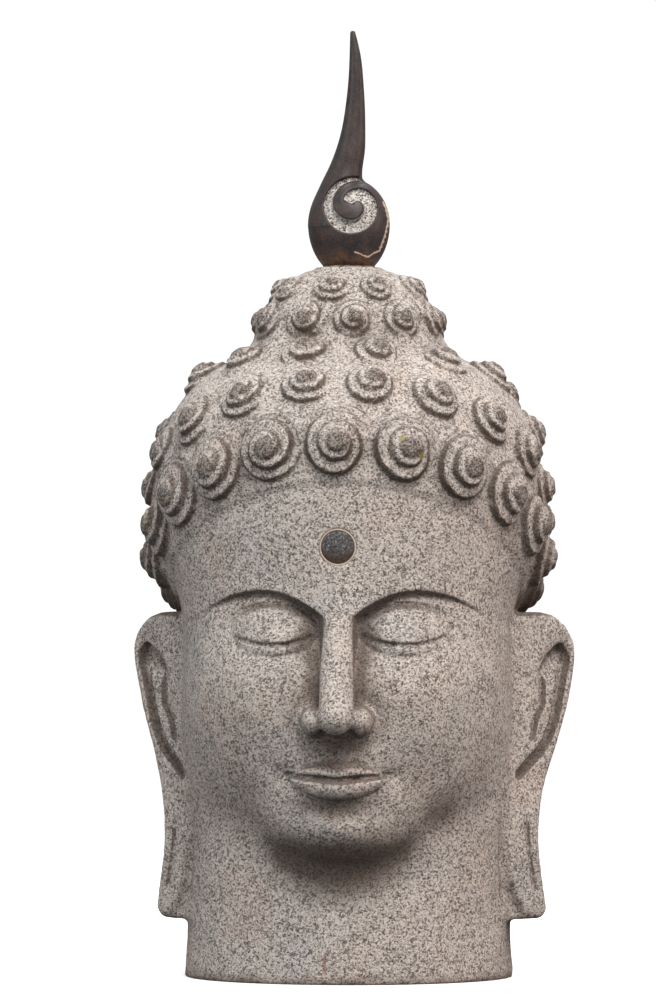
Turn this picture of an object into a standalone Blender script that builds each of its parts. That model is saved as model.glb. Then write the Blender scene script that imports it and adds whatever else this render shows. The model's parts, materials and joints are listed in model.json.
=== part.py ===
"""Carved stone head with snail-shell curls, a dark disc let into the forehead and a flame finial.

Three pieces: the head, cut from one stone with its ears, hair, topknot and neck; a round plug let
into the forehead; and a finial of darker stone that stands on a flat seat at the top. The head is a
figure, so its forms are shares of the stone's own height, told in the carver's unit PART, and the
finial's are shares of its height, told in FLAME_PART.
"""

import math

import bmesh
import bpy
import numpy as np
from mathutils import Matrix, Vector

MM = 0.001

# Driving sizes, in metres
STONE_HEIGHT = 450 * MM
FINIAL_HEIGHT = 150 * MM
SEAT_GAP = 0.3 * MM
SEAT_MARGIN = 2.5 * MM
DISC_DIAMETER = 20.5 * MM
DISC_DEPTH = 9 * MM
DISC_SUNK = 0.6 * MM
DISC_BEVEL = 0.6 * MM
DISC_GAP = 0.5 * MM
DISC_SIDES = 28

# The carver's units: a 450th of the stone's height, and a 150th of the finial's. The lists and
# places below are in PARTs with the origin at the middle of the neck's foot, or in FLAME_PARTs with
# the origin at the middle of the finial's foot.
PART = STONE_HEIGHT / 450
FLAME_PART = FINIAL_HEIGHT / 150

# The head: the face is three equal thirds from chin to hairline, and five eyes wide
CHIN = 76
HAIRLINE = 318
THIRD = (HAIRLINE - CHIN) / 3
BROW = CHIN + 2 * THIRD
NOSE_BASE = CHIN + THIRD
MOUTH = NOSE_BASE - THIRD / 3
EYE = BROW - 0.21 * THIRD
EYE_WIDTH = 41
SKULL_CENTRE = (0, 5, 284)
SKULL_RADII = (117, 120, 110)
SKULL_SQUARENESS = 3.0
FACE_CENTRE = (0, -31, 184)
FACE_RADII = (101, 88, 109)
JAW_CENTRE = (0, -14, 150)
JAW_RADII = (93, 84, 73)
CHIN_CENTRE = (0, -80, 103)
CHIN_RADII = (43, 28, 27)
NECK_RADII = (104, 89)
NECK_TOP = 215
NECK_FOOT = -20
NECK_WAIST = 2

# The face's relief stands forward of those forms, ahead of the ears only
RELIEF_STARTS = -25
RELIEF_FULL = -62
BROW_RISE = 9
BROW_PEAK = 50
BROW_BEND = 0.0098
LID_RADII = (0.68 * EYE_WIDTH, 16)
LID_RISE = 6.5
LID_SAG = 5
SLIT = (1.6, 1.5)
LOWER_LID = 1.8
LIP_HALF_WIDTH = 31
UPPER_LIP = (10.5, 4.6)
LOWER_LIP = (13.5, 6.2)
BOW_DIP = 2.4
LIP_CREASE = (3.0, 1.8)
PHILTRUM = (1.6, 3.6)

# Swellings and hollows of the face: across, up, half width, half height, rise
FACE_MOUNDS = (
    (0, MOUTH, 40, 25, 7),
    (0, MOUTH - 21, 24, 7, -3.5),
    (0, CHIN + 20, 24, 17, 5.5),
    (56, NOSE_BASE + 20, 30, 30, 5),
    (35, MOUTH + 1, 6, 7, -2.2),
)
NOSE_ROOT = (0, -105, BROW + 6)
NOSE_ROOT_RADIUS = 9
NOSE_TIP = (0, -137, NOSE_BASE + 12)
NOSE_TIP_RADIUS = 11
NOSE_WING = (13.5, -122, NOSE_BASE + 9)
NOSE_WING_RADII = (9, 15, 9.5)
SEPTUM_FOOT = (0, -121, NOSE_BASE + 4)
SEPTUM_RADII = (6, 4.5)
NOSTRIL = (8, -128, NOSE_BASE + 0.5)
NOSTRIL_RADII = (3.6, 6.5, 4)

# The hair: its lower edge is a plane that tips back, high over the forehead and low at the nape
HAIRLINE_FRONT = -122
HAIRLINE_TILT = math.radians(33)
HAIR_STEP = 2.5
HAIR_SWELL = 3.5
HAIR_SWELLS_OVER = 25
TOPKNOT_CENTRE = (0, 4, 386)
TOPKNOT_RADII = (58, 56, 65)
TOPKNOT_SQUARENESS = 2.5
SEAT_TOP = 450
SEAT_FLARE = 0.5
SEAT_DEPTH = 12
SPARE = 8

# Curls: each ring round the topknot is (height, count, first one's place as a share of the
# spacing, radius). Each ring over the scalp has a pole that tips back: (tip, angle from the pole,
# count, first one's place, radius, least distance to a neighbour as a share of both radii). A curl
# is left out where it would crowd one already placed, or the seat.
CURL_TURNS = 2.2
CURL_RISE = 0.62
CURL_ROOT = 0.6
CURL_WALL = 0.35
CURL_KNOB = 0.25
TOPKNOT_ROOM = 0.6
TOPKNOT_RINGS = (
    (416, 11, 0.21, 13.5),
    (436.5, 9, 0.7, 11.5),
)
SCALP_RINGS = (
    (31, 97, 19, 0.0, 20.5, 0.5),
    (34, 81.5, 20, 0.5, 17.0, 0.72),
    (15, 47, 13, 0.5, 16.5, 0.5),
    (25, 62, 17, 0.0, 17.0, 0.8),
    (26, 84, 20, 0.5, 17.0, 0.8),
    (15, 66, 16, 0.5, 17.0, 0.8),
    (6, 40, 11, 0.0, 16.0, 0.8),
)

# Ears: plates that start at the cheek and swing out and back, with long lobes
EAR_ROOT = (98, -6)
EAR_SWING = math.radians(41)
EAR_BOTTOM = 37
EAR_TOP = 231
EAR_BEHIND = 40
EAR_HALF_THICKNESS = 9
EAR_HEIGHTS = (0.0, 0.1, 0.22, 0.45, 0.58, 0.71, 0.88, 1.0)
EAR_REACH_LEFT = (27.5, 24.8, 20.2, 24.2, 32, 40.7, 48.5, 47)
EAR_REACH_RIGHT = (33, 29.4, 25.6, 30, 40.3, 48.8, 54.3, 51)
EAR_TOP_CORNER = 25
EAR_LOBE_CORNER = 9
EAR_EDGE = 5
EAR_RIM = 5
EAR_HOLLOW_TOP = 212
EAR_HOLLOW_CORNER = 19
EAR_GROOVE = 5
EAR_GROOVE_DEPTH = 5.5
EAR_SHELL = (0.34, 0.66, 5.5, 0.13, 6.5)
EAR_SLIT = (0.6, 2.8, 5)

# The disc's place on the forehead
DISC_UP = 273

# The finial: a bulb, and a flame that leans left, then right, to its point
BULB_LEAN = 0.3
BULB_MIDDLE = 27
BULB_RADII = (26, 20, 29.5)
BULB_DROP = 34
FLAME_TALL = 150
FLAME_HEIGHTS = (27, 51, 63, 72, 85.5, 102, 118.5, 135, 150)
FLAME_LEAN = (-4, -4.6, -1.8, 0.7, 3.0, 4.3, 4.7, 4.2, 2.6)
FLAME_HALF_WIDTH = (20, 13.8, 10.8, 9.6, 7.8, 6.2, 4.8, 3.5, 1.5)
FLAME_TIP = 1.5
FLAME_FLATNESS = 1.15
FLAME_STATIONS = 24
SPIRAL_EYE = (4.8, 38.6)
SPIRAL_START = 75
SPIRAL_TIGHTENS = 175
SPIRAL_END = 525
SPIRAL_RADIUS = 17
SPIRAL_PITCH = 14
SPIRAL_WIDTH = 8.4
SPIRAL_WIDTH_AT_START = 2.4
SPIRAL_DEPTH = 4.5
SPIRAL_BANK = 1.1
FOOT_RADIUS = BULB_RADII[0] * math.sqrt(1 - (BULB_MIDDLE / BULB_DROP) ** 2)
SEAT_RADIUS = (FOOT_RADIUS * FLAME_PART + SEAT_MARGIN) / PART

# Voxel sizes of the roughed-out blocks and of the finished skins, and the faces the solids keep
ROUGH_VOXEL = 4
FINE_VOXEL = 2.2
HEAD_TRIANGLES = 8000
FLAME_VOXEL = 0.9
FLAME_TRIANGLES = 1500

STONE = ("speckled_stone", (0.52, 0.48, 0.44), 0.9)
DARK_STONE = ("dark_stone", (0.06, 0.05, 0.05), 0.45)


def smoothstep(low, high, value):
    t = np.clip((value - low) / (high - low), 0, 1)
    return t * t * (3 - 2 * t)


def smooth_union(a, b, blend):
    h = np.maximum(blend - np.abs(a - b), 0) / blend
    return np.minimum(a, b) - h * h * blend / 4


def bell(distance, half):
    return np.exp(-((distance / half) ** 2))


def dome(x, z, centre_x, centre_z, half_x, half_z, rise):
    """A swelling with an edge of its own, such as a lid."""
    q = ((x - centre_x) / half_x) ** 2 + ((z - centre_z) / half_z) ** 2
    return rise * np.maximum(1 - q, 0) ** 0.7


def spline(at, knots, values):
    """A natural cubic curve through a few points."""
    knots, values = np.array(knots, float), np.array(values, float)
    gaps, count = np.diff(knots), len(knots)
    rises = np.diff(values) / gaps
    rows, right = np.eye(count), np.zeros(count)
    for i in range(1, count - 1):
        rows[i, i - 1 : i + 2] = gaps[i - 1], 2 * (gaps[i - 1] + gaps[i]), gaps[i]
        right[i] = 6 * (rises[i] - rises[i - 1])
    bends = np.linalg.solve(rows, right)
    at = np.clip(at, knots[0], knots[-1])
    i = np.clip(np.searchsorted(knots, at) - 1, 0, count - 2)
    a, b = (knots[i + 1] - at) / gaps[i], (at - knots[i]) / gaps[i]
    curve = ((a**3 - a) * bends[i] + (b**3 - b) * bends[i + 1]) * gaps[i] ** 2 / 6
    return a * values[i] + b * values[i + 1] + curve


def ellipsoid(p, centre, radii):
    q = (p - np.array(centre)) / np.array(radii, float)
    near = np.linalg.norm(q, axis=1)
    return near * (near - 1) / np.maximum(np.linalg.norm(q / np.array(radii), axis=1), 1e-9)


def skull(p):
    """An ellipsoid whose upper half is squarer, seen from the front or the side."""
    x, y, z = ((p - np.array(SKULL_CENTRE)) / np.array(SKULL_RADII, float)).T
    power = np.where(z > 0, SKULL_SQUARENESS, 2)
    level, up = np.maximum(np.hypot(x, y), 1e-9), np.maximum(np.abs(z), 1e-9)
    near = (level**power + up**power) ** (1 / power)
    across = np.hypot(x / SKULL_RADII[0], y / SKULL_RADII[1]) * level ** (power - 2)
    steep = np.hypot(across, up ** (power - 1) / SKULL_RADII[2])
    return near ** (power - 1) * (near - 1) / np.maximum(steep, 1e-9)


def round_cone(p, top, foot, top_radius, foot_radius):
    """A tapering bar with round ends."""
    top, foot = np.array(top, float), np.array(foot, float)
    run = foot - top
    share = np.clip((p - top) @ run / (run @ run), 0, 1)
    nearest = np.linalg.norm(p - top - share[:, None] * run, axis=1)
    return nearest - top_radius - (foot_radius - top_radius) * share


def brow_line(x):
    """Height of the brow's edge at x: an arch that springs from the root of the nose."""
    return BROW + BROW_RISE - BROW_BEND * (x - BROW_PEAK) ** 2


def lid_line(x):
    """Where the closed lids meet: a shallow curve that sags in the middle."""
    return EYE - 3 - LID_SAG * (1 - ((x - EYE_WIDTH) / (0.62 * EYE_WIDTH)) ** 2)


def mouth_line(x):
    return MOUTH + 2.0 * (x / LIP_HALF_WIDTH) ** 2 - bell(x, 7)


def sockets(x, z):
    """The hollow between the brow's edge and the cheek, deepest beside the nose."""
    below = brow_line(x) - z
    depth = 4.5 + 4.5 * bell(x - 17, 14) - 4.0 * smoothstep(55, 92, x)
    across = smoothstep(4, 13, x) * smoothstep(98, 84, x)
    return -depth * across * smoothstep(-1, 3.5, below) * smoothstep(46, 16, below)


def eyes(x, z):
    from_middle = np.abs(x - EYE_WIDTH)
    lids = dome(x, z, EYE_WIDTH, EYE + 1, *LID_RADII, LID_RISE)
    below = smoothstep(1, -1, z - lid_line(x)) * (from_middle < LID_RADII[0])
    lower = LOWER_LID * below * dome(x, z, EYE_WIDTH, EYE, LID_RADII[0], 18, 1)
    slit = SLIT[0] * bell(z - lid_line(x), SLIT[1]) * smoothstep(29, 22, from_middle)
    return lids - lower - slit


def lips(x, z):
    across = np.maximum(1 - (x / LIP_HALF_WIDTH) ** 2, 0)
    line = mouth_line(x)
    top = MOUTH + UPPER_LIP[0] * across**0.8 - BOW_DIP * bell(x, 5)
    foot = MOUTH - LOWER_LIP[0] * across**0.7
    up = np.clip((z - line) / np.maximum(top - line, 0.5), 0, 1.3)
    down = np.clip((line - z) / np.maximum(line - foot, 0.5), 0, 1.3)
    upper = UPPER_LIP[1] * np.maximum(1 - ((up - 0.35) / 0.68) ** 2, 0) ** 0.7 * (z >= line)
    lower = LOWER_LIP[1] * np.maximum(1 - ((down - 0.42) / 0.60) ** 2, 0) ** 0.7 * (z < line)
    crease = LIP_CREASE[0] * bell(z - line, LIP_CREASE[1])
    crease *= smoothstep(LIP_HALF_WIDTH + 5, LIP_HALF_WIDTH - 2, x)
    return (upper + lower) * across**0.5 - crease


def philtrum(x, z):
    between = smoothstep(MOUTH + 6, MOUTH + 12, z) * smoothstep(NOSE_BASE + 3, NOSE_BASE - 4, z)
    return -PHILTRUM[0] * bell(x, PHILTRUM[1]) * between


def face_relief(x, z):
    """How far the face stands forward of the bare form, at |x| and z."""
    relief = sockets(x, z) + eyes(x, z) + lips(x, z) + philtrum(x, z)
    for across, up, half_x, half_z, rise in FACE_MOUNDS:
        relief = relief + rise * bell(x - across, half_x) * bell(z - up, half_z)
    return relief


def nose(p):
    """A straight ridge with a round tip and two wings. p has |x| in its first column."""
    ridge = round_cone(p, NOSE_ROOT, NOSE_TIP, NOSE_ROOT_RADIUS, NOSE_TIP_RADIUS)
    septum = round_cone(p, NOSE_TIP, SEPTUM_FOOT, *SEPTUM_RADII)
    wing = ellipsoid(p, NOSE_WING, NOSE_WING_RADII)
    body = smooth_union(smooth_union(ridge, septum, 5), wing, 5)
    return -smooth_union(-body, ellipsoid(p, NOSTRIL, NOSTRIL_RADII), 3)


def bare_head(p):
    """The skull, face, jaw and neck before the hair, with the face's relief pushed forward."""
    x, y, z = np.abs(p[:, 0]), p[:, 1], p[:, 2]
    q = p.copy()
    q[:, 1] += face_relief(x, z) * smoothstep(RELIEF_STARTS, RELIEF_FULL, y)
    head = smooth_union(skull(q), ellipsoid(q, FACE_CENTRE, FACE_RADII), 30)
    head = smooth_union(head, ellipsoid(q, JAW_CENTRE, JAW_RADII), 24)
    head = smooth_union(head, ellipsoid(q, CHIN_CENTRE, CHIN_RADII), 26)
    head = smooth_union(head, nose(np.column_stack((x, y, z))), 7)
    waist = NECK_WAIST * np.sin(np.clip(z / 120, 0, 1) * math.pi)
    neck = (np.hypot(x / NECK_RADII[0], y / NECK_RADII[1]) - 1) * NECK_RADII[1] + waist
    neck = np.maximum(neck, np.maximum(z - NECK_TOP, NECK_FOOT - z))
    return smooth_union(head, neck, 9)


def above_hairline(p):
    """Signed height over the tilted plane that the hair ends on."""
    forward = (p[:, 1] - HAIRLINE_FRONT) * math.sin(HAIRLINE_TILT)
    return forward + (p[:, 2] - HAIRLINE) * math.cos(HAIRLINE_TILT)


def haired_head(p):
    """The head with its cap of hair, its topknot and the flared seat on the topknot."""
    up = above_hairline(p)
    hair = HAIR_STEP * smoothstep(-2, 2, up) + HAIR_SWELL * smoothstep(0, HAIR_SWELLS_OVER, up)
    head = bare_head(p) - hair
    q = np.abs((p - np.array(TOPKNOT_CENTRE)) / np.array(TOPKNOT_RADII, float))
    round_off = (q**TOPKNOT_SQUARENESS).sum(axis=1) ** (1 / TOPKNOT_SQUARENESS)
    head = smooth_union(head, (round_off - 1) * min(TOPKNOT_RADII), 22)
    under = SEAT_TOP - p[:, 2]
    seat = np.hypot(p[:, 0], p[:, 1]) - SEAT_RADIUS - SEAT_FLARE * np.maximum(under, 0)
    seat = np.maximum(seat, np.maximum(under - SEAT_DEPTH, -under - SPARE))
    return smooth_union(head, seat, 5)


def ear_outline(out, z, reach, top, corner):
    """Signed distance in the ear's own plane to its outline, or to one set inside it."""
    middle, half = (top + EAR_BOTTOM) / 2, (top - EAR_BOTTOM) / 2
    corner = np.where(z > middle, corner, EAR_LOBE_CORNER)
    across = np.abs(out - (reach - EAR_BEHIND) / 2) - (reach + EAR_BEHIND) / 2 + corner
    along = np.abs(z - middle) - half + corner
    rounded = np.hypot(np.maximum(across, 0), np.maximum(along, 0)) - corner
    return rounded + np.minimum(np.maximum(across, along), 0)


def ear(p):
    """A plate with a rim round its outer edge, a shell-shaped hollow and a slit down its lobe."""
    x, y, z = np.abs(p[:, 0]) - EAR_ROOT[0], p[:, 1] - EAR_ROOT[1], p[:, 2]
    out = x * math.cos(EAR_SWING) + y * math.sin(EAR_SWING)
    face = x * math.sin(EAR_SWING) - y * math.cos(EAR_SWING)
    height = (z - EAR_BOTTOM) / (EAR_TOP - EAR_BOTTOM)
    left, right = (spline(height, EAR_HEIGHTS, r) for r in (EAR_REACH_LEFT, EAR_REACH_RIGHT))
    reach = np.where(p[:, 0] > 0, right, left)
    edge = ear_outline(out, z, reach, EAR_TOP, EAR_TOP_CORNER)
    inner = ear_outline(out, z, reach - EAR_RIM, EAR_HOLLOW_TOP, EAR_HOLLOW_CORNER)
    groove = EAR_GROOVE_DEPTH * bell(inner + EAR_GROOVE / 2, EAR_GROOVE / 2)
    groove *= smoothstep(0.42, 0.52, height) * smoothstep(0, 7, out)
    middle, up, half_out, half_up, deep = EAR_SHELL
    shell = deep * bell(out - middle * reach, half_out) * bell(height - up, half_up)
    slit = EAR_SLIT[2] * bell(out - EAR_SLIT[0] * reach, EAR_SLIT[1])
    slit *= smoothstep(0.08, 0.12, height) * smoothstep(0.35, 0.3, height)
    through = np.abs(face + (groove + shell + slit) * smoothstep(-3, 3, face)) - EAR_HALF_THICKNESS
    edge, through = edge + EAR_EDGE, through + EAR_EDGE
    rounded = np.hypot(np.maximum(edge, 0), np.maximum(through, 0)) - EAR_EDGE
    return rounded + np.minimum(np.maximum(edge, through), 0)


def head_form(p):
    """Signed distance, roughly, to the stone's surface without its curls. p is in PARTs."""
    return smooth_union(haired_head(p), ear(p), 10)


def channel(x, z):
    """1 in the spiral channel of the bulb and 0 outside it, at x and z from the spiral's eye."""
    radius = np.hypot(x, z)
    turn = np.degrees(np.arctan2(z, x))
    turn = turn + np.where(turn < SPIRAL_START, 360, 0)
    shape = np.zeros_like(radius)
    for angle in (turn, turn + 360):
        middle = SPIRAL_RADIUS - SPIRAL_PITCH * np.maximum(angle - SPIRAL_TIGHTENS, 0) / 360
        widening = smoothstep(SPIRAL_START, SPIRAL_START + 180, angle)
        half = (SPIRAL_WIDTH_AT_START + (SPIRAL_WIDTH - SPIRAL_WIDTH_AT_START) * widening) / 2
        wall = smoothstep(half + SPIRAL_BANK, half - SPIRAL_BANK, np.abs(radius - middle))
        started = smoothstep(SPIRAL_START, SPIRAL_START + 10, angle)
        ended = smoothstep(SPIRAL_END, SPIRAL_END - 25, angle)
        shape = np.maximum(shape, wall * started * ended)
    return shape


def flame_form(p):
    """A bulb with a spiral channel on each broad side, drawn up into a leaning point."""
    x, y, z = p[:, 0], np.abs(p[:, 1]), p[:, 2]
    y = y + SPIRAL_DEPTH * channel(x - SPIRAL_EYE[0], z - SPIRAL_EYE[1]) * smoothstep(3, 8, y)
    upper = ellipsoid(np.column_stack((x, y, z)), (BULB_LEAN, 0, BULB_MIDDLE), BULB_RADII)
    lower_radii = (*BULB_RADII[:2], BULB_DROP)
    lower = ellipsoid(np.column_stack((x, y, z)), (BULB_LEAN, 0, BULB_MIDDLE), lower_radii)
    bulb = np.where(z > BULB_MIDDLE, upper, lower)
    below_tip = np.clip(z, 0, FLAME_TALL - FLAME_TIP)
    lean = spline(below_tip, FLAME_HEIGHTS, FLAME_LEAN)
    half = spline(below_tip, FLAME_HEIGHTS, FLAME_HALF_WIDTH)
    over = np.maximum(z - (FLAME_TALL - FLAME_TIP), 0)
    point = np.sqrt((x - lean) ** 2 + (y * FLAME_FLATNESS) ** 2 + over**2) - half
    return smooth_union(bulb, np.maximum(point, BULB_MIDDLE - z), 3)


def slope(field, p, reach=0.4):
    """The field's value at each point, and its slope along x, y and z."""
    here = field(p)
    steps = np.eye(3) * reach
    return here, np.stack([(field(p + step) - here) / reach for step in steps], axis=1)


def carve(mesh, field, unit, rounds=9, longest=4, where=None):
    """Moves each vertex down the field's slope until it lies on the carved surface."""
    block = np.empty(len(mesh.vertices) * 3)
    mesh.vertices.foreach_get("co", block)
    block = block.reshape(-1, 3) / unit
    chosen = np.ones(len(block), bool) if where is None else where(block)
    p = block[chosen]
    for _ in range(rounds):
        value, grad = slope(field, p)
        step = grad * (value / np.maximum((grad**2).sum(axis=1), 0.05))[:, None]
        length = np.linalg.norm(step, axis=1)
        p -= step * np.minimum(1, longest / np.maximum(length, 1e-9))[:, None]
    block[chosen] = p
    mesh.vertices.foreach_set("co", (block * unit).ravel())
    mesh.update()


def surface_along(field, start, direction, furthest=260):
    """Where a ray from inside the form leaves it, and the outward normal there."""
    start, direction = np.array(start, float), np.array(direction, float)
    near, far = 0.0, float(furthest)
    for _ in range(40):
        middle = (near + far) / 2
        inside = field((start + direction * middle)[None])[0] < 0
        near, far = (middle, far) if inside else (near, middle)
    point = start + direction * near
    normal = slope(field, point[None])[1][0]
    return point, normal / np.linalg.norm(normal)


def curl_places():
    """(centre, outward normal, radius, which way it winds) of every curl, ring by ring."""
    places = []

    def place(start, direction, radius, room):
        point, normal = surface_along(haired_head, start, direction)
        if point[2] > SEAT_TOP - SEAT_DEPTH:
            return
        for other, _, its_radius, _ in places:
            if np.linalg.norm(point - other) < room * (radius + its_radius):
                return
        places.append((point, normal, radius, 1 if point[0] >= 0 else -1))

    for height, count, offset, radius in TOPKNOT_RINGS:
        for i in range(count):
            turn = 2 * math.pi * (i + offset) / count
            direction = (math.sin(turn), -math.cos(turn), 0)
            place((0, TOPKNOT_CENTRE[1], height), direction, radius, TOPKNOT_ROOM)
    across = np.array((1.0, 0, 0))
    for tilt, angle, count, offset, radius, room in SCALP_RINGS:
        tilt, polar = math.radians(tilt), math.radians(angle)
        pole = np.array((0, math.sin(tilt), math.cos(tilt)))
        ahead = np.array((0, -math.cos(tilt), math.sin(tilt)))
        for i in range(count):
            turn = 2 * math.pi * (i + offset) / count
            ring = ahead * math.cos(turn) + across * math.sin(turn)
            place(SKULL_CENTRE, pole * math.cos(polar) + ring * math.sin(polar), radius, room)
    return places


def snail_height(share, turn):
    """Height of a snail shell, 0 to 1, at a share of its radius and an angle in radians."""
    lap = turn / (2 * math.pi)
    climb = CURL_TURNS * (1 - share) + lap
    stair = math.floor(climb) + float(smoothstep(0, CURL_WALL, climb % 1)) - lap
    height = min((1 + stair) / (1 + CURL_TURNS), 1) * float(smoothstep(1, 0.9, share))
    knob = float(smoothstep(CURL_KNOB + 0.05, CURL_KNOB - 0.05, share))
    return height * (1 - knob) + knob * (1 - 0.5 * share)


def curl_mesh(winding, segments=26, rings=24):
    """A ball whose upper half is drawn out into a snail shell and whose lower half is a root."""
    bm = bmesh.new()
    bmesh.ops.create_uvsphere(bm, u_segments=segments, v_segments=rings, radius=1)
    for v in bm.verts:
        polar = math.acos(max(-1, min(1, v.co.z)))
        turn = (math.atan2(v.co.y, v.co.x) * winding) % (2 * math.pi)
        share = min(polar, math.pi - polar) / (math.pi / 2)
        flat = Vector((v.co.x, v.co.y, 0)).normalized() * share
        above = polar <= math.pi / 2 + 1e-6
        lift = snail_height(share, turn) * CURL_RISE if above else (share - 1) * CURL_ROOT
        v.co = flat + Vector((0, 0, lift))
    mesh = bpy.data.meshes.new("curl")
    bm.to_mesh(mesh)
    bm.free()
    return mesh


def add_curls(bm):
    shells = {winding: curl_mesh(winding) for winding in (1, -1)}
    for point, normal, radius, winding in curl_places():
        facing = Vector(normal).to_track_quat("Z", "Y").to_matrix().to_4x4()
        place = Matrix.Translation(Vector(point) * PART) @ facing @ Matrix.Scale(radius * PART, 4)
        shell = shells[winding].copy()
        shell.transform(place)
        bm.from_mesh(shell)
        bpy.data.meshes.remove(shell)
    for shell in shells.values():
        bpy.data.meshes.remove(shell)


def add_ball(bm, centre, radii, unit=PART):
    size = Vector(radii) * unit
    place = Matrix.Translation(Vector(centre) * unit) @ Matrix.Diagonal((*size, 1))
    bmesh.ops.create_uvsphere(bm, u_segments=32, v_segments=20, radius=1, matrix=place)


def add_bar(bm, foot, top, foot_radii, top_share=1.0):
    """A round or oval bar from foot to top, thinned or thickened by top_share at its top."""
    foot, top = Vector(foot) * PART, Vector(top) * PART
    facing = (top - foot).to_track_quat("Z", "Y").to_matrix().to_4x4()
    size = Matrix.Diagonal((foot_radii[0] * PART, foot_radii[1] * PART, (top - foot).length, 1))
    bmesh.ops.create_cone(
        bm,
        cap_ends=True,
        segments=40,
        radius1=1,
        radius2=top_share,
        depth=1,
        matrix=Matrix.Translation((foot + top) / 2) @ facing @ size,
    )


def roughed_out():
    """Plain balls and bars, about where the finished forms will be."""
    bm = bmesh.new()
    add_ball(bm, SKULL_CENTRE, SKULL_RADII)
    add_ball(bm, FACE_CENTRE, FACE_RADII)
    add_ball(bm, JAW_CENTRE, JAW_RADII)
    add_ball(bm, TOPKNOT_CENTRE, TOPKNOT_RADII)
    add_ball(bm, NOSE_TIP, (NOSE_TIP_RADIUS,) * 3)
    nose_radii = (NOSE_TIP_RADIUS, NOSE_TIP_RADIUS)
    add_bar(bm, NOSE_TIP, NOSE_ROOT, nose_radii, NOSE_ROOT_RADIUS / NOSE_TIP_RADIUS)
    add_bar(bm, (0, 0, NECK_FOOT), (0, 0, NECK_TOP), NECK_RADII)
    middle, half = (EAR_TOP + EAR_BOTTOM) / 2, (EAR_TOP - EAR_BOTTOM) / 2
    for side in (1, -1):
        add_ball(bm, (side * NOSE_WING[0], *NOSE_WING[1:]), NOSE_WING_RADII)
        add_ball(bm, (side * (EAR_ROOT[0] + 14), 6, middle), (22, 20, half))
        add_ball(bm, (side * (EAR_ROOT[0] + 20), 12, EAR_TOP - 28), (20, 18, 26))
        root = side * (EAR_ROOT[0] - 3)
        add_bar(bm, (root, 0, EAR_BOTTOM + 2), (root, 0, EAR_TOP - 3), (17, 14))
    mesh = bpy.data.meshes.new("block")
    bm.to_mesh(mesh)
    bm.free()
    return mesh


def modified(mesh, name, kind, **settings):
    """The mesh as one modifier leaves it. The mesh that goes in is used up."""
    block = bpy.data.objects.new(name, mesh)
    bpy.context.scene.collection.objects.link(block)
    step = block.modifiers.new(name, kind)
    for setting, value in settings.items():
        setattr(step, setting, value)
    graph = bpy.context.evaluated_depsgraph_get()
    made = bpy.data.meshes.new_from_object(block.evaluated_get(graph), depsgraph=graph)
    bpy.data.objects.remove(block)
    bpy.data.meshes.remove(mesh)
    return made


def reskinned(mesh, voxel):
    """The mesh skinned anew with even faces of this size, in metres."""
    return modified(mesh, "skin", "REMESH", mode="VOXEL", voxel_size=voxel)


def thinned(mesh, triangles):
    """The mesh with its flattest edges collapsed until about this many triangles are left."""
    mesh.calc_loop_triangles()
    made = modified(mesh, "thin", "DECIMATE", ratio=triangles / len(mesh.loop_triangles))
    made.shade_smooth()
    return made


def curled_stone():
    """The carved head with its curls, in one skin."""
    stone = reskinned(roughed_out(), ROUGH_VOXEL * PART)
    carve(stone, head_form, PART)
    stone = reskinned(stone, FINE_VOXEL * PART)
    carve(stone, head_form, PART, rounds=4)
    bm = bmesh.new()
    bm.from_mesh(stone)
    add_curls(bm)
    bm.to_mesh(stone)
    bm.free()
    stone = reskinned(stone, FINE_VOXEL * PART)
    carve(stone, head_form, PART, rounds=4, where=lambda p: above_hairline(p) < -SPARE)
    return stone


def flame_block():
    """A tapering bar along the flame's spine, with a ball for the bulb."""
    spine = bpy.data.curves.new("flame_spine", "CURVE")
    spine.dimensions = "3D"
    spine.bevel_depth = FLAME_PART
    spine.bevel_resolution = 4
    spine.use_fill_caps = True
    heights = np.linspace(BULB_MIDDLE, FLAME_TALL - FLAME_TIP / 2, FLAME_STATIONS)
    leans = spline(heights, FLAME_HEIGHTS, FLAME_LEAN)
    halves = spline(heights, FLAME_HEIGHTS, FLAME_HALF_WIDTH)
    bar = spine.splines.new("POLY")
    bar.points.add(FLAME_STATIONS - 1)
    for point, lean, height, half in zip(bar.points, leans, heights, halves):
        point.co = (lean * FLAME_PART, 0, height * FLAME_PART, 1)
        point.radius = half
    guide = bpy.data.objects.new("flame_spine", spine)
    bpy.context.scene.collection.objects.link(guide)
    graph = bpy.context.evaluated_depsgraph_get()
    mesh = bpy.data.meshes.new_from_object(guide.evaluated_get(graph), depsgraph=graph)
    bpy.data.objects.remove(guide)
    bm = bmesh.new()
    bm.from_mesh(mesh)
    bmesh.ops.remove_doubles(bm, verts=bm.verts, dist=MM / 100)
    add_ball(bm, (BULB_LEAN, 0, BULB_MIDDLE), (*BULB_RADII[:2], BULB_DROP), FLAME_PART)
    bm.to_mesh(mesh)
    bm.free()
    return mesh


def material(name, colour, roughness):
    made = bpy.data.materials.get(name) or bpy.data.materials.new(name)
    made.use_nodes = True
    shader = made.node_tree.nodes["Principled BSDF"]
    shader.inputs["Base Color"].default_value = (*colour, 1)
    shader.inputs["Roughness"].default_value = roughness
    shader.inputs["Metallic"].default_value = 0
    return made


def new_object(name, mesh, parts, look):
    made = bpy.data.objects.new(name, mesh)
    parts.objects.link(made)
    mesh.materials.clear()
    mesh.materials.append(material(*look))
    return made


def cut_away(target, name, cutters):
    """Takes the shape of the object just added out of the target, and files it as a cutter."""
    tool = bpy.context.object
    tool.name = name
    for home in list(tool.users_collection):
        home.objects.unlink(tool)
    cutters.objects.link(tool)
    tool.hide_render = True
    tool.display_type = "WIRE"
    cut = target.modifiers.new(name, "BOOLEAN")
    cut.operation = "DIFFERENCE"
    cut.object = tool


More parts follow.
